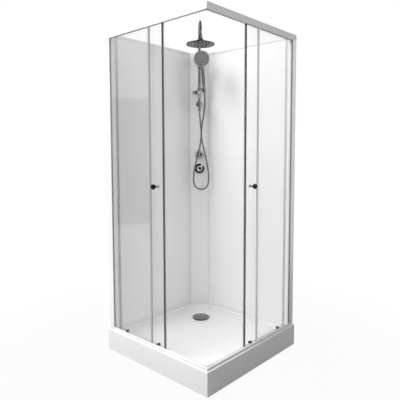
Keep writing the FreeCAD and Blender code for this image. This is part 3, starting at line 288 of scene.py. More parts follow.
def make_hose_chrome():
    """Chrome that is duller in the hose's grooves, and darker there as painted shade."""
    f = Finish("hose_chrome")
    groove = f.add("ShaderNodeAttribute", {"attribute_name": "groove"}, output="Fac")
    wear = f.noise(150, 3)
    return f.close(f.solid(
        Base_Color=f.colours(groove, grey(0.34, 0.004), grey(0.06)),
        Metallic=0.9,
        Roughness=0.20 + wear * 0.12 + groove * 0.25,
        Normal=f.bump(wear, 0.00002, 0.3),
    ))


def make_plastic(name, level, roughness):
    """Moulded plastic or rubber with a fine grain."""
    f = Finish(name)
    cloud = f.noise(60, 3)
    grain = f.noise(1800, 2)
    return f.close(f.solid(
        Base_Color=f.colours(cloud, grey(level * 0.88), grey(level * 1.08)),
        Roughness=roughness + cloud * 0.1,
        Normal=f.bump(grain, 0.00002, 0.5),
    ))


def make_zinc():
    """Zinc-plated steel with its spangle."""
    f = Finish("zinc_steel")
    spangle = f.noise(220, 4)
    return f.close(f.solid(
        Base_Color=f.colours(spangle, (0.50, 0.51, 0.50), (0.66, 0.67, 0.65)),
        Metallic=1.0,
        Roughness=0.28 + spangle * 0.2,
        Normal=f.bump(spangle, 0.00003, 0.4),
    ))


def see_through(name, tint, haze, reach):
    """Thin clear material: what is behind it, gloss on top, and a faint film of dried water.
    haze is the film's least share, and reach is what its marks add."""
    f = Finish(name)
    straight_on, mirror = 0.04, 0.8
    clear = f.add("ShaderNodeBsdfTransparent", {}, {"Color": tint})
    gloss = f.add("ShaderNodeBsdfAnisotropic", {}, {"Color": grey(0.95), "Roughness": 0.02})
    film = f.add("ShaderNodeBsdfDiffuse", {}, {"Color": grey(0.85)})
    slant = f.add("ShaderNodeLayerWeight", {}, {"Blend": 0.5}, "Facing") ** 5
    marks = f.noise(14, 4, (1, 1, 0.25)) * f.noise(90, 2, (1, 1, 0.15))
    veiled = f.mixed(haze + marks * reach, clear, film)
    return f.close(f.mixed((straight_on + slant * (1 - straight_on)) * mirror, veiled, gloss))


ALONG_X = (0.01, 1, 1)
ALONG_Y = (1, 0.01, 1)
ALONG_Z = (1, 1, 0.001)

ACRYLIC = make_acrylic()
WALL = make_wall_white()
# The right top rail is the same rail as the left, set darker as painted shade on the side turned
# from the lamp.
TOP_RAILS = {
    "left": make_aluminium("rail_along_left", ALONG_X, dark=0.88, bright=0.93, metallic=0.1),
    "right": make_aluminium("rail_painted_shade_right", ALONG_Y, dark=0.55, bright=0.62, metallic=0.2),
}
SILLS = {
    "left": make_aluminium("sill_along_left", ALONG_X, dark=0.86, bright=0.94, metallic=0.05),
    "right": make_aluminium("sill_along_right", ALONG_Y, dark=0.86, bright=0.94, metallic=0.05),
}
# The two fixed bars are one bar; the left one is set darker as painted shade.
FIXED_BARS = {
    "left": make_aluminium("bar_painted_shade_left", ALONG_Z, dark=0.40, bright=0.50, metallic=0.5),
    "right": make_aluminium("bar_right", ALONG_Z, dark=0.64, bright=0.74, metallic=0.3),
}
UPRIGHT = make_aluminium("aluminium_upright", ALONG_Z, dark=0.88, bright=0.92, metallic=0.05)
# The chromes below are one polished metal in several tones. All but the brightest are set darker
# than real chrome as painted dark reflection, and the near-black ones most.
CHROME_PAINTED_DARK = make_polished("dark_chrome", 0.05, 0.09, roughness=0.08, stretch=(1, 1, 0.002))
CHROME = make_polished("chrome", 0.28, 0.34, roughness=0.05, stretch=(1, 1, 0.2))
BRIGHT_CHROME = make_polished("bright_chrome", 0.50, 0.58, roughness=0.05)
CHROME_PLASTIC = make_polished("chrome_plastic", 0.30, 0.36, roughness=0.07)
CHROME_PAINTED_BLACK = make_polished("chrome_painted_black", 0.015, 0.03, roughness=0.08)
DISH_CHROME = make_polished("dish_chrome", 0.36, 0.44, roughness=0.10)
HEAD_CHROME_PAINTED_DARK = make_polished("head_chrome_painted_dark", 0.10, 0.15, roughness=0.06)
SATIN = make_polished("satin_cover", 0.22, 0.30, roughness=0.22, scratch=0.12)
PLATE = make_polished("nozzle_plate", 0.015, 0.03, roughness=0.22, metallic=0.3)
SPRAY_GREY = make_plastic("spray_grey", 0.48, roughness=0.3)
# Dark grey for the handset face's grooves, as painted shade.
SPRAY_GROOVE_SHADE = make_plastic("spray_groove_shade", 0.08, roughness=0.4)
PALE_NOZZLE = make_plastic("nozzle_pale", 0.85, roughness=0.35)
BLACK = make_plastic("black_plastic", 0.025, roughness=0.4)
RUBBER = make_plastic("glass_rubber", 0.37, roughness=0.6)
# Pale liner plastic, partly painted light on the rails' undersides.
LINER_PAINTED_LIGHT = make_plastic("rail_liner", 0.85, roughness=0.45)
ROLLER = make_plastic("roller_grey", 0.05, roughness=0.3)
NYLON = make_plastic("wheel_nylon", 0.07, roughness=0.4)
HOSE = make_hose_chrome()
ZINC = make_zinc()
GLASS = see_through("clear_glass", (0.991, 0.992, 0.992), haze=0.0, reach=0.03)
SEAL = see_through("clear_seal", (0.965, 0.97, 0.97), haze=0.06, reach=0.1)


# Mesh tools

SMOOTH_UNDER = math.radians(32)


def shade(bm):
    """Smooth over gentle edges and keep the sharp ones."""
    for face in bm.faces:
        face.smooth = True
    for edge in bm.edges:
        edge.smooth = len(edge.link_faces) == 2 and edge.calc_face_angle() < SMOOTH_UNDER


def mesh_of(name, bm):
    """A mesh from a bmesh, which is freed."""
    mesh = bpy.data.meshes.new(name)
    bm.to_mesh(mesh)
    bm.free()
    return mesh


def applied(obj):
    """The mesh that an object's modifiers make. The modifiers are removed."""
    bpy.context.view_layer.update()
    graph = bpy.context.evaluated_depsgraph_get()
    mesh = bpy.data.meshes.new_from_object(obj.evaluated_get(graph), depsgraph=graph)
    obj.modifiers.clear()
    return mesh


def piece(name, bm, finish, body, replaced=(), place=UNMOVED, weighted=True):
    """Turns a bmesh into a finished object of the part. finish can be a list of two."""
    bm.transform(place)
    if place.determinant() < 0:
        bmesh.ops.reverse_faces(bm, faces=bm.faces[:])
    shade(bm)
    obj = stood(name, mesh_of(name, bm))
    for entry in finish if isinstance(finish, list) else [finish]:
        obj.data.materials.append(entry)
    if weighted:
        obj.modifiers.new("even_normals", "WEIGHTED_NORMAL").keep_sharp = True
        obj.data = applied(obj)
    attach(obj, body)
    if replaced:
        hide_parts(*replaced)


def cad_copy(node):
    """A merged copy of a CAD node's mesh, in metres."""
    bm = bmesh.new()
    bm.from_mesh(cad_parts[node].data)
    for layer in list(bm.loops.layers.uv.values()):
        bm.loops.layers.uv.remove(layer)
    bmesh.ops.remove_doubles(bm, verts=bm.verts, dist=2e-6)
    return bm


def bevelled(bm, edges, offset, segments):
    """Rounds edges by an offset in the bmesh's own unit."""
    bmesh.ops.bevel(
        bm, geom=edges, offset=offset, segments=segments, profile=0.5,
        affect="EDGES", clamp_overlap=True,
    )
    return bm


def ease(bm, width, segments=2, over=35, chosen=None):
    """Rounds the edges over an angle, or the chosen ones of them, by a width in millimetres."""
    over = math.radians(over)
    edges = [
        edge for edge in bm.edges
        if len(edge.link_faces) == 2 and edge.calc_face_angle() > over
        and (chosen is None or chosen(edge))
    ]
    return bevelled(bm, edges, width * MM, segments)


def dressed(node, finish, body, width, segments=2):
    """A CAD piece with its edges rounded as the real one's are."""
    piece(node + "_shown", ease(cad_copy(node), width, segments), finish, body, [node])


def turned(profile, steps, flute=None, second=()):
    """A closed turned shape from (radius, height) points, from one end of the axis to the other.
    flute gives the radius's factor for an angle. second lists the stretches of the profile that
    take the second finish."""
    bm = bmesh.new()
    rings = []
    for radius, height in profile:
        if radius == 0:
            rings.append([bm.verts.new((0, 0, height))])
            continue
        ring = []
        for step in range(steps):
            angle = 2 * math.pi * step / steps
            reach = radius * (flute(angle, radius, height) if flute else 1)
            ring.append(bm.verts.new((reach * math.cos(angle), reach * math.sin(angle), height)))
        rings.append(ring)
    for stretch, (lower, upper) in enumerate(zip(rings, rings[1:])):
        for step in range(steps):
            after = (step + 1) % steps
            corners = [lower[step % len(lower)], lower[after % len(lower)],
                       upper[after % len(upper)], upper[step % len(upper)]]
            face = bm.faces.new(list(dict.fromkeys(corners)))
            face.material_index = int(stretch in second)
    for ring, flipped in ((rings[0], True), (rings[-1], False)):
        if len(ring) > 1:
            bm.faces.new(list(reversed(ring)) if flipped else ring)
    bmesh.ops.recalc_face_normals(bm, faces=bm.faces)
    return bm


def arc(centre_r, centre_h, radius, start, end, steps):
    """Points of an arc from one angle in degrees to another."""
    angles = (math.radians(start + (end - start) * k / steps) for k in range(steps + 1))
    return [(centre_r + radius * math.cos(a), centre_h + radius * math.sin(a)) for a in angles]


def tube(path, radii, sides):
    """A round tube through points, with a radius at each, closed at both ends."""
    path = [Vector(point) for point in path]
    last = len(path) - 1
    ahead = [
        (path[min(i + 1, last)] - path[max(i - 1, 0)]).normalized() for i in range(len(path))
    ]
    across = ahead[0].orthogonal().normalized()
    bm = bmesh.new()
    rings = []
    for centre, direction, radius in zip(path, ahead, radii):
        across = (across - direction * across.dot(direction)).normalized()
        side = direction.cross(across)
        rings.append([
            bm.verts.new(centre + radius * (math.cos(a) * across + math.sin(a) * side))
            for a in (2 * math.pi * k / sides for k in range(sides))
        ])
    for lower, upper in zip(rings, rings[1:]):
        for k in range(sides):
            j = (k + 1) % sides
            bm.faces.new((lower[k], lower[j], upper[j], upper[k]))
    bm.faces.new(list(reversed(rings[0])))
    bm.faces.new(rings[-1])
    return bm


def block(middle, size, place=UNMOVED):
    """A box from its middle and its size along each axis."""
    bm = bmesh.new()
    whole = place @ shift(*middle) @ Matrix.Diagonal((*size, 1))
    bmesh.ops.create_cube(bm, size=1, matrix=whole)
    return bm


def axis_place(drawing, start, direction):
    """A placement whose Z runs along a direction of a drawing's own placement."""
    tilt = Vector((0, 0, 1)).rotation_difference(Vector(direction)).to_matrix().to_4x4()
    return drawing @ shift(*start) @ tilt


def joined(*shapes):
    """One bmesh from several. Each is a bmesh, or a bmesh with its placement."""
    whole = bmesh.new()
    for shape in shapes:
        bm, place = shape if isinstance(shape, tuple) else (shape, UNMOVED)
        bm.transform(place)
        mesh = mesh_of("part", bm)
        whole.from_mesh(mesh)
        bpy.data.meshes.remove(mesh)
    return whole


# Hose. Its points are those of the CAD's route, along the column, out from it and up, and they
# steer one smooth line.

HOSE_POINTS = [
    (0.0, 60.0, 1637.4), (5.0, 59.0, 1570.0), (13.0, 54.0, 1500.0), (12.0, 51.0, 1435.0),
    (2.0, 55.0, 1365.0), (-16.0, 61.0, 1295.0), (-36.0, 62.0, 1225.0), (-47.0, 61.0, 1150.0),
    (-46.0, 59.0, 1077.0), (-13.0, 58.0, 1043.0), (35.0, 58.0, 1042.0), (68.0, 59.0, 1076.0),
    (70.0, 61.0, 1150.0), (61.0, 65.0, 1225.0), (43.0, 70.0, 1310.0), (22.0, 75.0, 1390.0),
    (12.0, 76.0, 1460.0), (18.0, 72.0, 1535.0), (33.0, 58.0, 1615.0), (44.3, 41.9, 1707.1),
    (39.1, 53.3, 1765.4),
]
HOSE_RADIUS = 6
HOSE_SIDES = 14
RIB_PITCH = 3.2
GROOVE_DEPTH = 0.9
RIB_SHAPE = (0, 0.35, 1.0, 0.35)


def smooth_line(points):
    """The points of a NURBS line in metres, as Blender works it out."""
    data = bpy.data.curves.new("line", "CURVE")
    data.dimensions = "3D"
    spline = data.splines.new("NURBS")
    spline.points.add(len(points) - 1)
    for point, place in zip(spline.points, points):
        point.co = (*place, 1)
    spline.order_u = 3
    spline.use_endpoint_u = True
    spline.resolution_u = 24
    holder = stood("line", data)
    bpy.context.view_layer.update()
    mesh = bpy.data.meshes.new_from_object(holder)
    line = [vert.co.copy() for vert in mesh.vertices]
    bpy.data.objects.remove(holder)
    return line


def evenly(line, step):
    """The same line with its points a step apart, and its length."""
    line = np.array(line)
    along = np.concatenate([[0], np.cumsum(np.linalg.norm(np.diff(line, axis=0), axis=1))])
    length = along[-1]
    marks = np.linspace(0, length, round(length / step) + 1)
    return np.stack([np.interp(marks, along, line[:, k]) for k in range(3)], axis=1), length


def make_hose():
    """The wound metal hose. It bends from the riser's outlet to the slider, which it follows."""
    rings_per_rib = len(RIB_SHAPE)
    route = smooth_line([COLUMN @ Vector((u, -n, z)) for u, n, z in HOSE_POINTS])
    path, length = evenly(route, RIB_PITCH * MM / rings_per_rib)
    depth = [RIB_SHAPE[i % rings_per_rib] for i in range(len(path))]
    bm = tube(path, [(HOSE_RADIUS - GROOVE_DEPTH * d) * MM for d in depth], HOSE_SIDES)
    # The groove layer also darkens the chrome in the grooves as painted shade.
    layer = bm.verts.layers.float.new("groove")
    for index, vert in enumerate(bm.verts):
        vert[layer] = depth[index // HOSE_SIDES]
    for face in bm.faces:
        face.smooth = len(face.verts) == 4
    hose = stood("shower_hose_spiral", mesh_of("shower_hose_spiral", bm))
    hose.data.materials.append(HOSE)
    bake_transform(hose)
    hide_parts("shower_hose")


make_hose()


# Tray, feet and waste

def make_tray():
    """The tray, rounded at the foot and the top of its basin and eased round its rim."""
    bm = cad_copy("tray")
    basin_floor, basin_top, skirt_top = 0.092, 0.117, 0.1
    basin_half = (TRAY_HALF - 30) * MM

    def in_basin(edge):
        return all(max(abs(v.co.x), abs(v.co.y)) < basin_half for v in edge.verts)

    def at_foot(edge):
        return in_basin(edge) and all(abs(v.co.z - basin_floor) < MM for v in edge.verts)

    def at_top(edge):
        return in_basin(edge) and all(v.co.z > basin_top for v in edge.verts)

    ease(bm, 14, 5, 20, at_foot)
    ease(bm, 5, 4, 20, at_top)
    ease(bm, 1.2, 2, 35, lambda edge: all(v.co.z > skirt_top for v in edge.verts))
    piece("tray_shell", bm, ACRYLIC, "root", ["tray"])


def make_cover():
    """The domed drain cover with its ring groove, turned in one piece with its stem."""
    rim_height, crown, groove = 102, 4.0, (57.6, 57.2)
    profile = [(0, 14.3), (6.95, 14.3), (6.95, 99), (40, 99), (58, 99)]
    profile += arc(60.5, 100.5, 1.5, -90, 60, 4)
    for radius in (58.5, *groove, 56.4, 52, 44, 36, 28, 20, 12, 6):
        height = rim_height + crown * (1 - (radius / 62) ** 2)
        profile.append((radius, height - 0.8 if radius in groove else height))
    profile.append((0, rim_height + crown))
    piece("drain_cover", turned(profile, 96), SATIN, "waste_cover", ["waste_cover"],
          CABIN @ shift(*WASTE_AT))


make_tray()
make_cover()
dressed("tray_feet", BLACK, "root", 1.0)
dressed("waste_trap", BLACK, "root", 0.8)


# Walls, column and frame

def strip(low, high):
    """A straight strip of a left side between two corners, each its X, depth and height."""
    size = [b - a for a, b in zip(low, high)]
    x, depth, height = ((a + b) / 2 for a, b in zip(low, high))
    return ease(block((x, depth - GLASS_FACE, height), size, CABIN), 0.4)


def make_gaskets(side):
    """Rubber along the fixed glass in the upright, and pale liners in the mouths of the rails. The
    liners' pale colour is partly painted light on the rails' undersides.
    """
    rubber = strip((-413, 4.6, 162), (-396.5, 5.9, 2051))
    piece(f"{side}_glass_rubber", rubber, RUBBER, "root", (), SIDES[side])
    sill_end = 435.2 if side == "left" else 427.5
    liners = joined(
        strip((-399, 1.7, 2053.2), (-16, 5.8, 2056.4)),
        strip((-16, 1.7, 2053.2), (427, 11.0, 2056.4)),
        strip((-399, 26.7, 2058.2), (400, 33.0, 2061)),
        strip((-15, 4.7, 145.4), (sill_end, 12.3, 159.6)),
    )
    piece(f"{side}_rail_liners", liners, LINER_PAINTED_LIGHT, "root", (), SIDES[side])


for side, across in (("left", "right"), ("right", "left")):
    dressed(f"{side}_wall_panel", WALL, "root", 0.5)
    dressed(f"{side}_wall_channels", SILLS[across], "root", 0.5)
    dressed(f"{side}_upright", UPRIGHT, "root", 1.2, 3)
    dressed(f"{side}_top_rail", TOP_RAILS[side], "root", 0.7)
    dressed(f"{side}_bottom_rail", SILLS[side], "root", 0.7)
    dressed(f"{side}_fixed_edge", FIXED_BARS[side], "root", 0.6)
    # The door edges take near-black chrome as painted dark reflection.
    dressed(f"{side}_door_edge", CHROME_PAINTED_DARK, f"{side}_door", 1.0, 3)
    dressed(f"{side}_door_seals", SEAL, f"{side}_door", 0.25)
    dressed(f"{side}_fixed_glass", GLASS, "root", 0.4)
    dressed(f"{side}_door_glass", GLASS, f"{side}_door", 0.4)
    make_gaskets(side)
dressed("column_panel", WALL, "root", 0.5)
dressed("column_trims", WALL, "root", 0.8, 3)
dressed("corner_brackets", ZINC, "root", 0.4)


# Door knobs and rollers

def make_knobs(side):
    """Turned knobs on necks: a broad one outside the glass and a small one inside it."""
    neck = [(0, 0), (5.5, 0), (5.5, 1), (4.9, 1.8), (4.7, 7.5), (5.3, 10.4)]
    outer = neck + [(8.5, 11.4), (13.4, 12.0)] + arc(14.3, 13.2, 1.2, -75, 0, 4)
    outer += [(15.5, 18.8), (15.0, 19.3), (15.0, 20.0), (15.5, 20.5)]
    outer += arc(13.6, 22.1, 1.9, 0, 90, 5) + [(12.2, 24), (11.6, 23.4), (6, 22.9), (0, 22.8)]
    inner = neck + [(7.6, 11.8)] + arc(8.2, 12.9, 0.8, -80, 0, 3)
    inner += arc(7.4, 16.4, 1.6, 0, 90, 5) + [(5.8, 18), (5.3, 17.5), (0, 17.3)]
    # Both knobs are the same chrome; the outer one takes near-black chrome as painted dark
    # reflection.
    for name, profile, finish, slot, depth, outward in (
        ("outer", outer, CHROME_PAINTED_BLACK, "dark_chrome", 20.85, (0, -1, 0)),
        ("inner", inner, BRIGHT_CHROME, "chrome", 26.15, (0, 1, 0)),
    ):
        foot = (DOOR_KNOBS["x"], depth - GLASS_FACE, DOOR_KNOBS["height"])
        place = SIDES[side] @ axis_place(CABIN, foot, outward)
        piece(f"{side}_knob_{name}", turned(profile, 48), finish, f"{side}_door",
              [f"{side}_door_knobs"], place)


WHEELS = {
    "top_lead": (23, 2070.9), "top_tail": (-282, 2070.9),
    "bottom_lead": (23, 161.3), "bottom_tail": (-282, 161.3),
}
WHEEL_DEPTH = 14.25


def make_rollers(side):
    """Grooved wheels on their axles, each with its cap, flange and nut."""
    tread = [(3.05, 0), (4.6, 0), (4.8, 0.4), (8.6, 0.4), (8.9, 0)]
    tread += arc(10.4, 0.6, 0.6, -90, 0, 3) + [(11, 1.5), (10.5, 1.9), (10.5, 2.7), (11, 3.1)]
    tread += arc(10.4, 4.0, 0.6, 0, 90, 3) + [(8.9, 4.6), (8.6, 4.2), (4.8, 4.2), (4.6, 4.6)]
    tread += [(3.05, 4.6), (3.05, 0)]
    hub = [
        (0, -1.15), (1.6, -1.15), (1.6, -0.6), (2.4, -1.1), (4.4, -1.1), (5, -0.5), (5, -0.15),
        (3, -0.15), (3, 4.75), (6.4, 4.75), (7, 5.2), (7, 6.75), (3, 6.75), (3, 11.75),
        (8, 11.75), (8, 15.6), (7.2, 16.6), (4, 16.75), (3.6, 16.2), (0, 16.2),
    ]
    fittings = []
    for name, (x, z) in WHEELS.items():
        place = axis_place(CABIN, (x, WHEEL_DEPTH - GLASS_FACE, z), (0, 1, 0))
        wheel = f"{side}_wheel_{name}"
        piece(f"{side}_roller_{name}", turned(tread, 40), NYLON, wheel,
              [wheel], SIDES[side] @ place)
        fittings.append((turned(hub, 32), place))
    piece(f"{side}_roller_fittings", joined(*fittings), ROLLER, f"{side}_door",
          [f"{side}_roller_hubs"], SIDES[side])


for side in SIDES:
    make_knobs(side)
    make_rollers(side)


# Shower set

def make_arm():
    """The arch over the user, its sleeve on the riser, and the swivel ball at its end."""
    bend, pipe_radius = 112.5, 10
    line = arc(-RISER_OUT - bend, ARM_HEIGHT, bend, 0, 180, 45)
    arch = tube([(0, y, z) for y, z in line], [pipe_radius] * len(line), 32)
    sleeve = [
        (10.05, 0), (12.4, 0), (13, 0.7), (13, 3.4), (12.4, 3.9), (13, 4.4), (13, 20.5), (12, 22),
        (10.05, 22), (10.05, 0),
    ]
    tip = [
        (0, -26), (5, -25.5), (5, -14), (12.2, -12), (13, -11.2), (13, -8.5), (10.6, -1),
        (10.02, 0), (10.02, 1), (0, 1),
    ]
    ball = [(0, -12)] + arc(0, 0, 12, -75, 75, 14) + [(0, 12)]
    bm = joined(
        arch,
        (turned(sleeve, 40), shift(0, -RISER_OUT, 2142)),
        (turned(tip, 40), shift(0, -RISER_OUT - 2 * bend, ARM_HEIGHT)),
        (turned(ball, 40), shift(*BALL_CENTRE)),
    )
    piece("overhead_arch", bm, CHROME, "root", ["overhead_arm"], COLUMN)


def nozzle_plate(name, rings, height, place, size, length, body):
    """Rubber nozzles in rings on a spray plate, made with Geometry Nodes. rings lists each
    ring's radius and count."""
    spots = []
    for ring, (radius, count) in enumerate(rings):
        for k in range(count):
            angle = 2 * math.pi * (k + 0.5 * (ring % 2)) / count
            spots.append((radius * math.cos(angle), radius * math.sin(angle), height))
    points = bpy.data.meshes.new(name + "_points")
    points.from_pydata([place @ Vector(spot) for spot in spots], [], [])
    pegs = stood(name, points)

    tree = bpy.data.node_groups.new(name + "_tree", "GeometryNodeTree")
    sockets = tree.interface.new_socket
    sockets("Geometry", in_out="INPUT", socket_type="NodeSocketGeometry")
    given = {
        label: sockets(label, in_out="INPUT", socket_type="NodeSocket" + kind).identifier
        for label, kind in (
            ("Radius", "Float"), ("Length", "Float"), ("Turn", "Vector"), ("Finish", "Material"),
        )
    }
    sockets("Geometry", in_out="OUTPUT", socket_type="NodeSocketGeometry")
    nodes = {
        key: tree.nodes.new(kind)
        for key, kind in (
            ("given", "NodeGroupInput"), ("narrow", "ShaderNodeMath"),
            ("peg", "GeometryNodeMeshCone"), ("set", "GeometryNodeInstanceOnPoints"),
            ("real", "GeometryNodeRealizeInstances"), ("coat", "GeometryNodeSetMaterial"),
            ("out", "NodeGroupOutput"),
        )
    }
    nodes["narrow"].operation = "MULTIPLY"
    nodes["narrow"].inputs[1].default_value = 0.8
    nodes["peg"].inputs["Vertices"].default_value = 10
    for source, output, target, entry in (
        ("given", "Radius", "narrow", 0), ("narrow", 0, "peg", "Radius Top"),
        ("given", "Radius", "peg", "Radius Bottom"), ("given", "Length", "peg", "Depth"),
        ("given", "Geometry", "set", "Points"), ("peg", "Mesh", "set", "Instance"),
        ("given", "Turn", "set", "Rotation"), ("set", "Instances", "real", "Geometry"),
        ("real", "Geometry", "coat", "Geometry"), ("given", "Finish", "coat", "Material"),
        ("coat", "Geometry", "out", "Geometry"),
    ):
        tree.links.new(nodes[source].outputs[output], nodes[target].inputs[entry])
    modifier = pegs.modifiers.new("nozzles", "NODES")
    modifier.node_group = tree
    modifier[given["Radius"]] = size * MM
    modifier[given["Length"]] = length * MM
    modifier[given["Turn"]] = tuple(place.to_euler())
    modifier[given["Finish"]] = PALE_NOZZLE
    pegs.data = applied(pegs)
    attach(pegs, body)


def make_head():
    """The domed overhead shower, its plate and its nozzles."""
    x, y, _ = BALL_CENTRE
    foot = COLUMN @ shift(x, y, HEAD_FOOT)
    shell = [(0, 2.55), (94.3, 2.55), (94.3, 0), (96, 0)]
    shell += arc(98.4, 1.6, 1.6, -90, 0, 4) + arc(98, 5.0, 2.0, 0, 70, 4)
    shell += [
        (radius, 7 + 13 * (1 - (radius / 100) ** 2)) for radius in (96, 90, 80, 70, 60, 50, 42)
    ]
    shell += [
        (36, 19.8), (33, 22.5), (31.5, 27), (29, 31), (24, 34.5), (18, 36.6), (15.6, 37.2),
        (15, 38), (15, 45.6), (14.4, 46.4), (12.2, 46.4), (11.7, 40), (8.5, 37.5), (0, 37.2),
    ]
    # The dome takes near-black chrome as painted dark reflection.
    piece("overhead_head", turned(shell, 96), HEAD_CHROME_PAINTED_DARK, "rain_head", ["rain_head"],
          foot)
    plate = [
        (0, 0.9), (10, 0.9), (11, 0.4), (86, 0.4), (87.5, 0.8), (89, 0.8), (90.5, 0.3),
        (93.4, 0.3), (94, 0.8), (94, 2.4), (0, 2.4),
    ]
    piece("overhead_plate", turned(plate, 96), PLATE, "rain_head",
          ["rain_head_face"], foot)
    down = COLUMN @ shift(x, y, HEAD_FOOT + 0.8) @ turn(180, "X")
    nozzle_plate("overhead_nozzles", [(13, 3), (33, 7), (55, 12), (77, 17)], 0, down,
                 size=5.6, length=2.2, body="rain_head")


def make_swivel():
    """The ring nut round the swivel ball."""
    ring = [
        (11.2, 0.5), (15.2, 0.5), (16, 1.1), (16, 3.4), (15.3, 3.9), (15.3, 4.6), (16, 5.1),
        (15.8, 7.0), (14.6, 8), (10.2, 8), (11.6, 4), (12.3, 1), (11.2, 0.5),
    ]
    piece("swivel_nut", turned(ring, 40), CHROME, "swivel_ring", ["swivel_ring"],
          COLUMN @ shift(*BALL_CENTRE))


def make_handset():
    """Handle and disc as one flowing shape: joined, remeshed and smoothed."""
    handle = [
        (0, -13), (9.9, -13), (10.6, -12.2), (10.6, 13), (11.2, 20), (12.2, 40), (12.8, 80),
        (12.6, 130), (13, 165), (13.2, 194), (0, 195),
    ]
    disc = [(0, -10), (48, -10)] + arc(56, -7, 3, -90, 0, 4) + [(59, 2)]
    disc += arc(53, 6, 6, 10, 60, 4) + [(46, 14.5), (36, 17.4), (20, 18), (0, 18)]
    bm = joined(
        turned(handle, 40),
        (turned(disc, 72), shift(0, 0, SPRAY_HEIGHT) @ turn(-90, "X")),
    )
    holder = stood("handset_shape", mesh_of("handset_shape", bm))
    remesh = holder.modifiers.new("remesh", "REMESH")
    remesh.mode = "VOXEL"
    remesh.voxel_size = 1.5
    smooth = holder.modifiers.new("smooth", "SMOOTH")
    smooth.factor = 0.5
    smooth.iterations = 6
    shape = applied(holder)
    bpy.data.objects.remove(holder)
    bm = bmesh.new()
    bm.from_mesh(shape)
    piece("handset_body", bm, CHROME_PLASTIC, "hand_shower", ["handset"],
          HANDSET, weighted=False)


def make_grip_studs():
    """A row of small rubber studs up the front of the handle."""
    stud = [(0, 0), (5.8, 0), (5.6, 1.2), (4.4, 2.0), (0, 2.4)]
    around = math.radians(40)
    outward = Vector((math.sin(around), -math.cos(around), 0))
    feet = [outward * 12.0 + Vector((0, 0, 44 + 17.5 * k)) for k in range(7)]
    studs = joined(*((turned(stud, 20), axis_place(UNMOVED, foot, outward)) for foot in feet))
    piece("handset_studs", studs, BLACK, "hand_shower", (), HANDSET)


def make_handset_face():
    """The spray face: a raised boss and rings, with nozzles between them."""
    face = [(0, 13.0), (7.5, 13.0), (8.6, 12.4)]
    for inner, outer, after in ((9.2, 16, 24), (25, 32, 40), (41, 47.5, 50)):
        face += [(inner, 11.0), (outer, 11.0), (outer + 0.8, 12.2), (after, 12.2)]
    face += [(51, 11.2), (51, 9.6), (0, 9.6)]
    place = HANDSET @ shift(0, 0, SPRAY_HEIGHT) @ turn(90, "X")
    # The recessed stretches take the dark grey as painted shade in the grooves.
    grooves = (2, 3, 4, 6, 7, 8, 10, 11, 12)
    piece("handset_face_shown", turned(face, 72, second=grooves), [SPRAY_GREY, SPRAY_GROOVE_SHADE],
          "hand_shower", ["handset_face"], place)
    nozzle_plate("handset_nozzles", [(20.5, 10), (36.5, 18)], 12, place,
                 size=1.6, length=1.0, body="hand_shower")


def hose_nut():
    """A tapered hose nut with two grooves."""
    top, tip, length = 11, 7.5, 22
    points = [(0, 0), (tip - 0.8, 0), (tip, 0.8)]
    for share in (0.25, 0.62):
        radius = tip + (top - tip) * share
        height = length * share
        points += [
            (radius - 0.1, height), (radius - 0.8, height + 0.5),
            (radius - 0.6, height + 1.1), (radius + 0.2, height + 1.6),
        ]
    points += [(top - 0.1, length - 0.7), (top - 0.8, length), (0, length)]
    return turned(points, 40)


def make_nuts():
    """The hose's nuts, on the handset and on the riser's outlet."""
    piece("handset_nut_shown", hose_nut(), CHROME, "hand_shower", ["handset_nut"],
          HANDSET @ shift(0, 0, -35))
    piece("outlet_nut_shown", hose_nut(), CHROME, "root", ["outlet_nut"],
          COLUMN @ shift(0, -RISER_OUT, 1638))


def make_riser():
    """The riser pipe with its narrower outlet below, and its two brackets."""
    pipe = [
        (0, 1650), (6.4, 1650), (7, 1650.6), (7, 1660), (9.4, 1660), (10, 1660.6),
        (10, 2157.4), (9.4, 2158), (0, 2158),
    ]
    piece("riser_tube", turned(pipe, 40), CHROME, "root", ["riser_pipe"],
          COLUMN @ shift(0, -RISER_OUT, 0))
    dressed("riser_brackets", CHROME, "root", 1.2, 3)


make_arm()
make_head()
make_swivel()
make_handset()
make_grip_studs()
make_handset_face()
make_nuts()
make_riser()
dressed("hand_slider", CHROME, "hand_slider", 1.2, 3)
dressed("handset_cradle", CHROME, "hand_shower", 1.4, 3)
dressed("soap_dish", DISH_CHROME, "soap_dish", 2.5, 4)


# Controls

def make_diverter_knob():
    """A fluted knob with a grip ridge across its face."""
    def flute(angle, radius, height):
        depth = 0.035 if radius > 17 and 3 < height < 23 else 0
        return 1 - depth * (0.5 + 0.5 * math.cos(18 * angle))

    body = [
        (0, 0), (4.05, 0), (16.6, 0), (17.6, 0.8), (17.9, 3.5), (17.9, 22.5), (17.6, 24.6),
        (16.2, 26), (0, 26),
    ]
    # The ridge's bright chrome is a painted highlight, and the knob's near-black chrome is painted
    # dark reflection.
    ridge = block((0, 0, 26.5), (8, 28, 7))
    bevelled(ridge, ridge.edges[:], 2.0, 4)
    for face in ridge.faces:
        face.material_index = 1
    piece("diverter_grip", joined(turned(body, 72, flute), ridge), [CHROME_PAINTED_BLACK, BRIGHT_CHROME],
          "diverter_knob", ["diverter_knob"],
          axis_place(COLUMN, DIVERTER_AT, (0, -1, 0)))


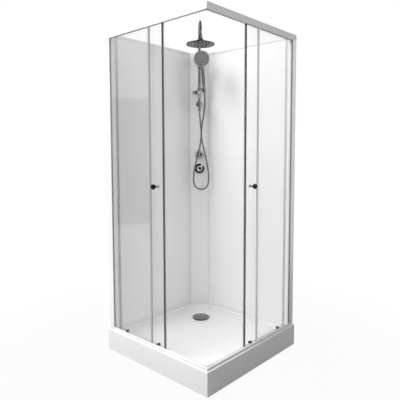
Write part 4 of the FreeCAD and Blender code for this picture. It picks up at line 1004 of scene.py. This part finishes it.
def make_mixer_inlays():
    """A black centre, let into the mixer's cap and into the root of its lever."""
    place = COLUMN @ shift(*MIXER_FACE_AT) @ turn(35, "Y") @ turn(90, "X")
    halves = []
    for side in (-1, 1):
        half = turned([(0, -0.2), (15.5, -0.2), (15.5, 0.3), (15.2, 0.5), (0, 0.5)], 48)
        bmesh.ops.bisect_plane(
            half, geom=half.verts[:] + half.edges[:] + half.faces[:],
            plane_co=(7.4 * side, 0, 0), plane_no=(side, 0, 0), clear_inner=True,
        )
        bmesh.ops.holes_fill(half, edges=[edge for edge in half.edges if edge.is_boundary])
        halves.append(half)
    piece("mixer_cap_inlay", joined(*halves), CHROME_PAINTED_BLACK, "mixer_cap", (), place)
    root = block((0, 4.2, 0.15), (12.2, 21.4, 0.7))
    bevelled(root, root.edges[:], 0.2, 2)
    piece("mixer_lever_inlay", root, CHROME_PAINTED_BLACK, "mixer_lever", (), place)


make_diverter_knob()
make_mixer_inlays()
dressed("diverter_body", CHROME, "root", 2.0, 4)
# The mixer's rose takes near-black chrome as painted dark reflection.
dressed("mixer_body", CHROME_PAINTED_BLACK, "root", 2.0, 4)
dressed("mixer_cap", BRIGHT_CHROME, "mixer_cap", 1.2, 3)
dressed("mixer_lever", BRIGHT_CHROME, "mixer_lever", 1.5, 4)
dressed("supply_pipes", ZINC, "root", 0.5)


# Floor, backdrop and light, in metres

AMBIENT = 0.88
FLOOR_GREY = 0.28
FLOOR_REACH = 14
NEAR_WHITE = 0.955
DARK = 0.02
DIAGONAL = turn(45, "Z")
SCREENS = (
    ("dark_rear", DIAGONAL @ shift(3, 3.9, 7), (6, 14), DARK),
    ("dark_left", DIAGONAL @ shift(-3, -3.9, 7), (6, 14), DARK),
    ("grey_rear", DIAGONAL @ shift(-3, 4.0, 7), (6, 14), 0.5),
    ("grey_band", DIAGONAL @ shift(-3, 0.2, 1.22), (0.54, 1.52), 0.4),
    ("dark_over", DIAGONAL @ shift(3.3, 0, 8) @ turn(90, "Y"), (12, 6), DARK),
    ("dark_ahead", DIAGONAL @ shift(-3.1, -5, 7) @ turn(90, "Z"), (5.8, 14), DARK),
)


def make_face(name, corners):
    """One face of four corners as an object."""
    mesh = bpy.data.meshes.new(name)
    mesh.from_pydata(corners, [], [(0, 1, 2, 3)])
    return stood(name, mesh)


def make_screen(name, place, size, level):
    """A flat screen that only metal and glass show. It is drawn upright, facing along X."""
    wide, tall = size[0] / 2, size[1] / 2
    corners = [(0, -wide, -tall), (0, wide, -tall), (0, wide, tall), (0, -wide, tall)]
    screen = make_face(name, corners)
    screen.matrix_world = place
    screen.visible_camera = False
    screen.visible_diffuse = False
    screen.visible_shadow = False
    f = Finish(name)
    glow = f.add("ShaderNodeEmission", {}, {"Color": grey(1.0), "Strength": level})
    screen.data.materials.append(f.close(glow))
    return screen


def make_screens():
    """The screens for metal and glass, and two low ones that only shade the tray's skirt."""
    for name, place, size, level in SCREENS:
        make_screen(name, place, size, level)
    low_left = make_screen("low_left", shift(0, -1, 0.15) @ turn(90, "Z"), (2.6, 0.3), DARK)
    low_left.visible_shadow = True
    low_left.visible_glossy = False
    low_right = make_screen("low_screen", shift(1.0, 0.1, 0.32), (2.4, 0.64), DARK)
    low_right.visible_diffuse = True
    low_right.visible_glossy = False


def make_floor():
    """Near white to the camera and pure white further out. It lights the cabin as a grey one."""
    far = FLOOR_REACH
    floor = make_face("floor", [(-far, -far, 0), (far, -far, 0), (far, far, 0), (-far, far, 0)])
    f = Finish("pale_floor")
    matte = f.add("ShaderNodeBsdfDiffuse", {}, {"Color": grey(FLOOR_GREY)})
    glow = f.add("ShaderNodeEmission", {}, {"Color": grey(1.0), "Strength": 1.0})
    away = f.add("ShaderNodeVectorMath", {"operation": "LENGTH"}, {0: f.place()}, output=1)
    white = NEAR_WHITE + away.between(0.8, 2.0) * (1 - NEAR_WHITE)
    floor.data.materials.append(f.close(f.mixed(f.shown() * white, matte, glow)))


def make_world():
    """White to the camera, in metal and through glass, and plain ambient light."""
    f = Finish("studio", world=True)
    light = f.add("ShaderNodeBackground", {}, {"Color": grey(1.0), "Strength": AMBIENT})
    white = f.add("ShaderNodeBackground", {}, {"Color": grey(1.0), "Strength": 1.0})
    bpy.context.scene.world = f.close(f.mixed(f.shown(), light, white))


def area_lamp(name, place, target, size, power):
    data = bpy.data.lights.new(name, "AREA")
    data.shape = "RECTANGLE"
    data.size, data.size_y = size
    data.energy = power
    lamp = stood(name, data)
    aim = (Vector(target) - Vector(place)).to_track_quat("-Z", "Y").to_matrix().to_4x4()
    lamp.matrix_world = shift(*place) @ aim
    lamp.visible_glossy = False


make_floor()
make_screens()
make_world()
area_lamp("key", (-1.4, -3.65, 7.34), target=(0, 0.1, 1.1), size=(3.4, 3.4), power=370)
area_lamp("fill", (-0.8, -6.0, 1.6), target=(0, 0.2, 1.2), size=(2.4, 3.0), power=55)
bpy.context.scene.view_settings.view_transform = "Standard"
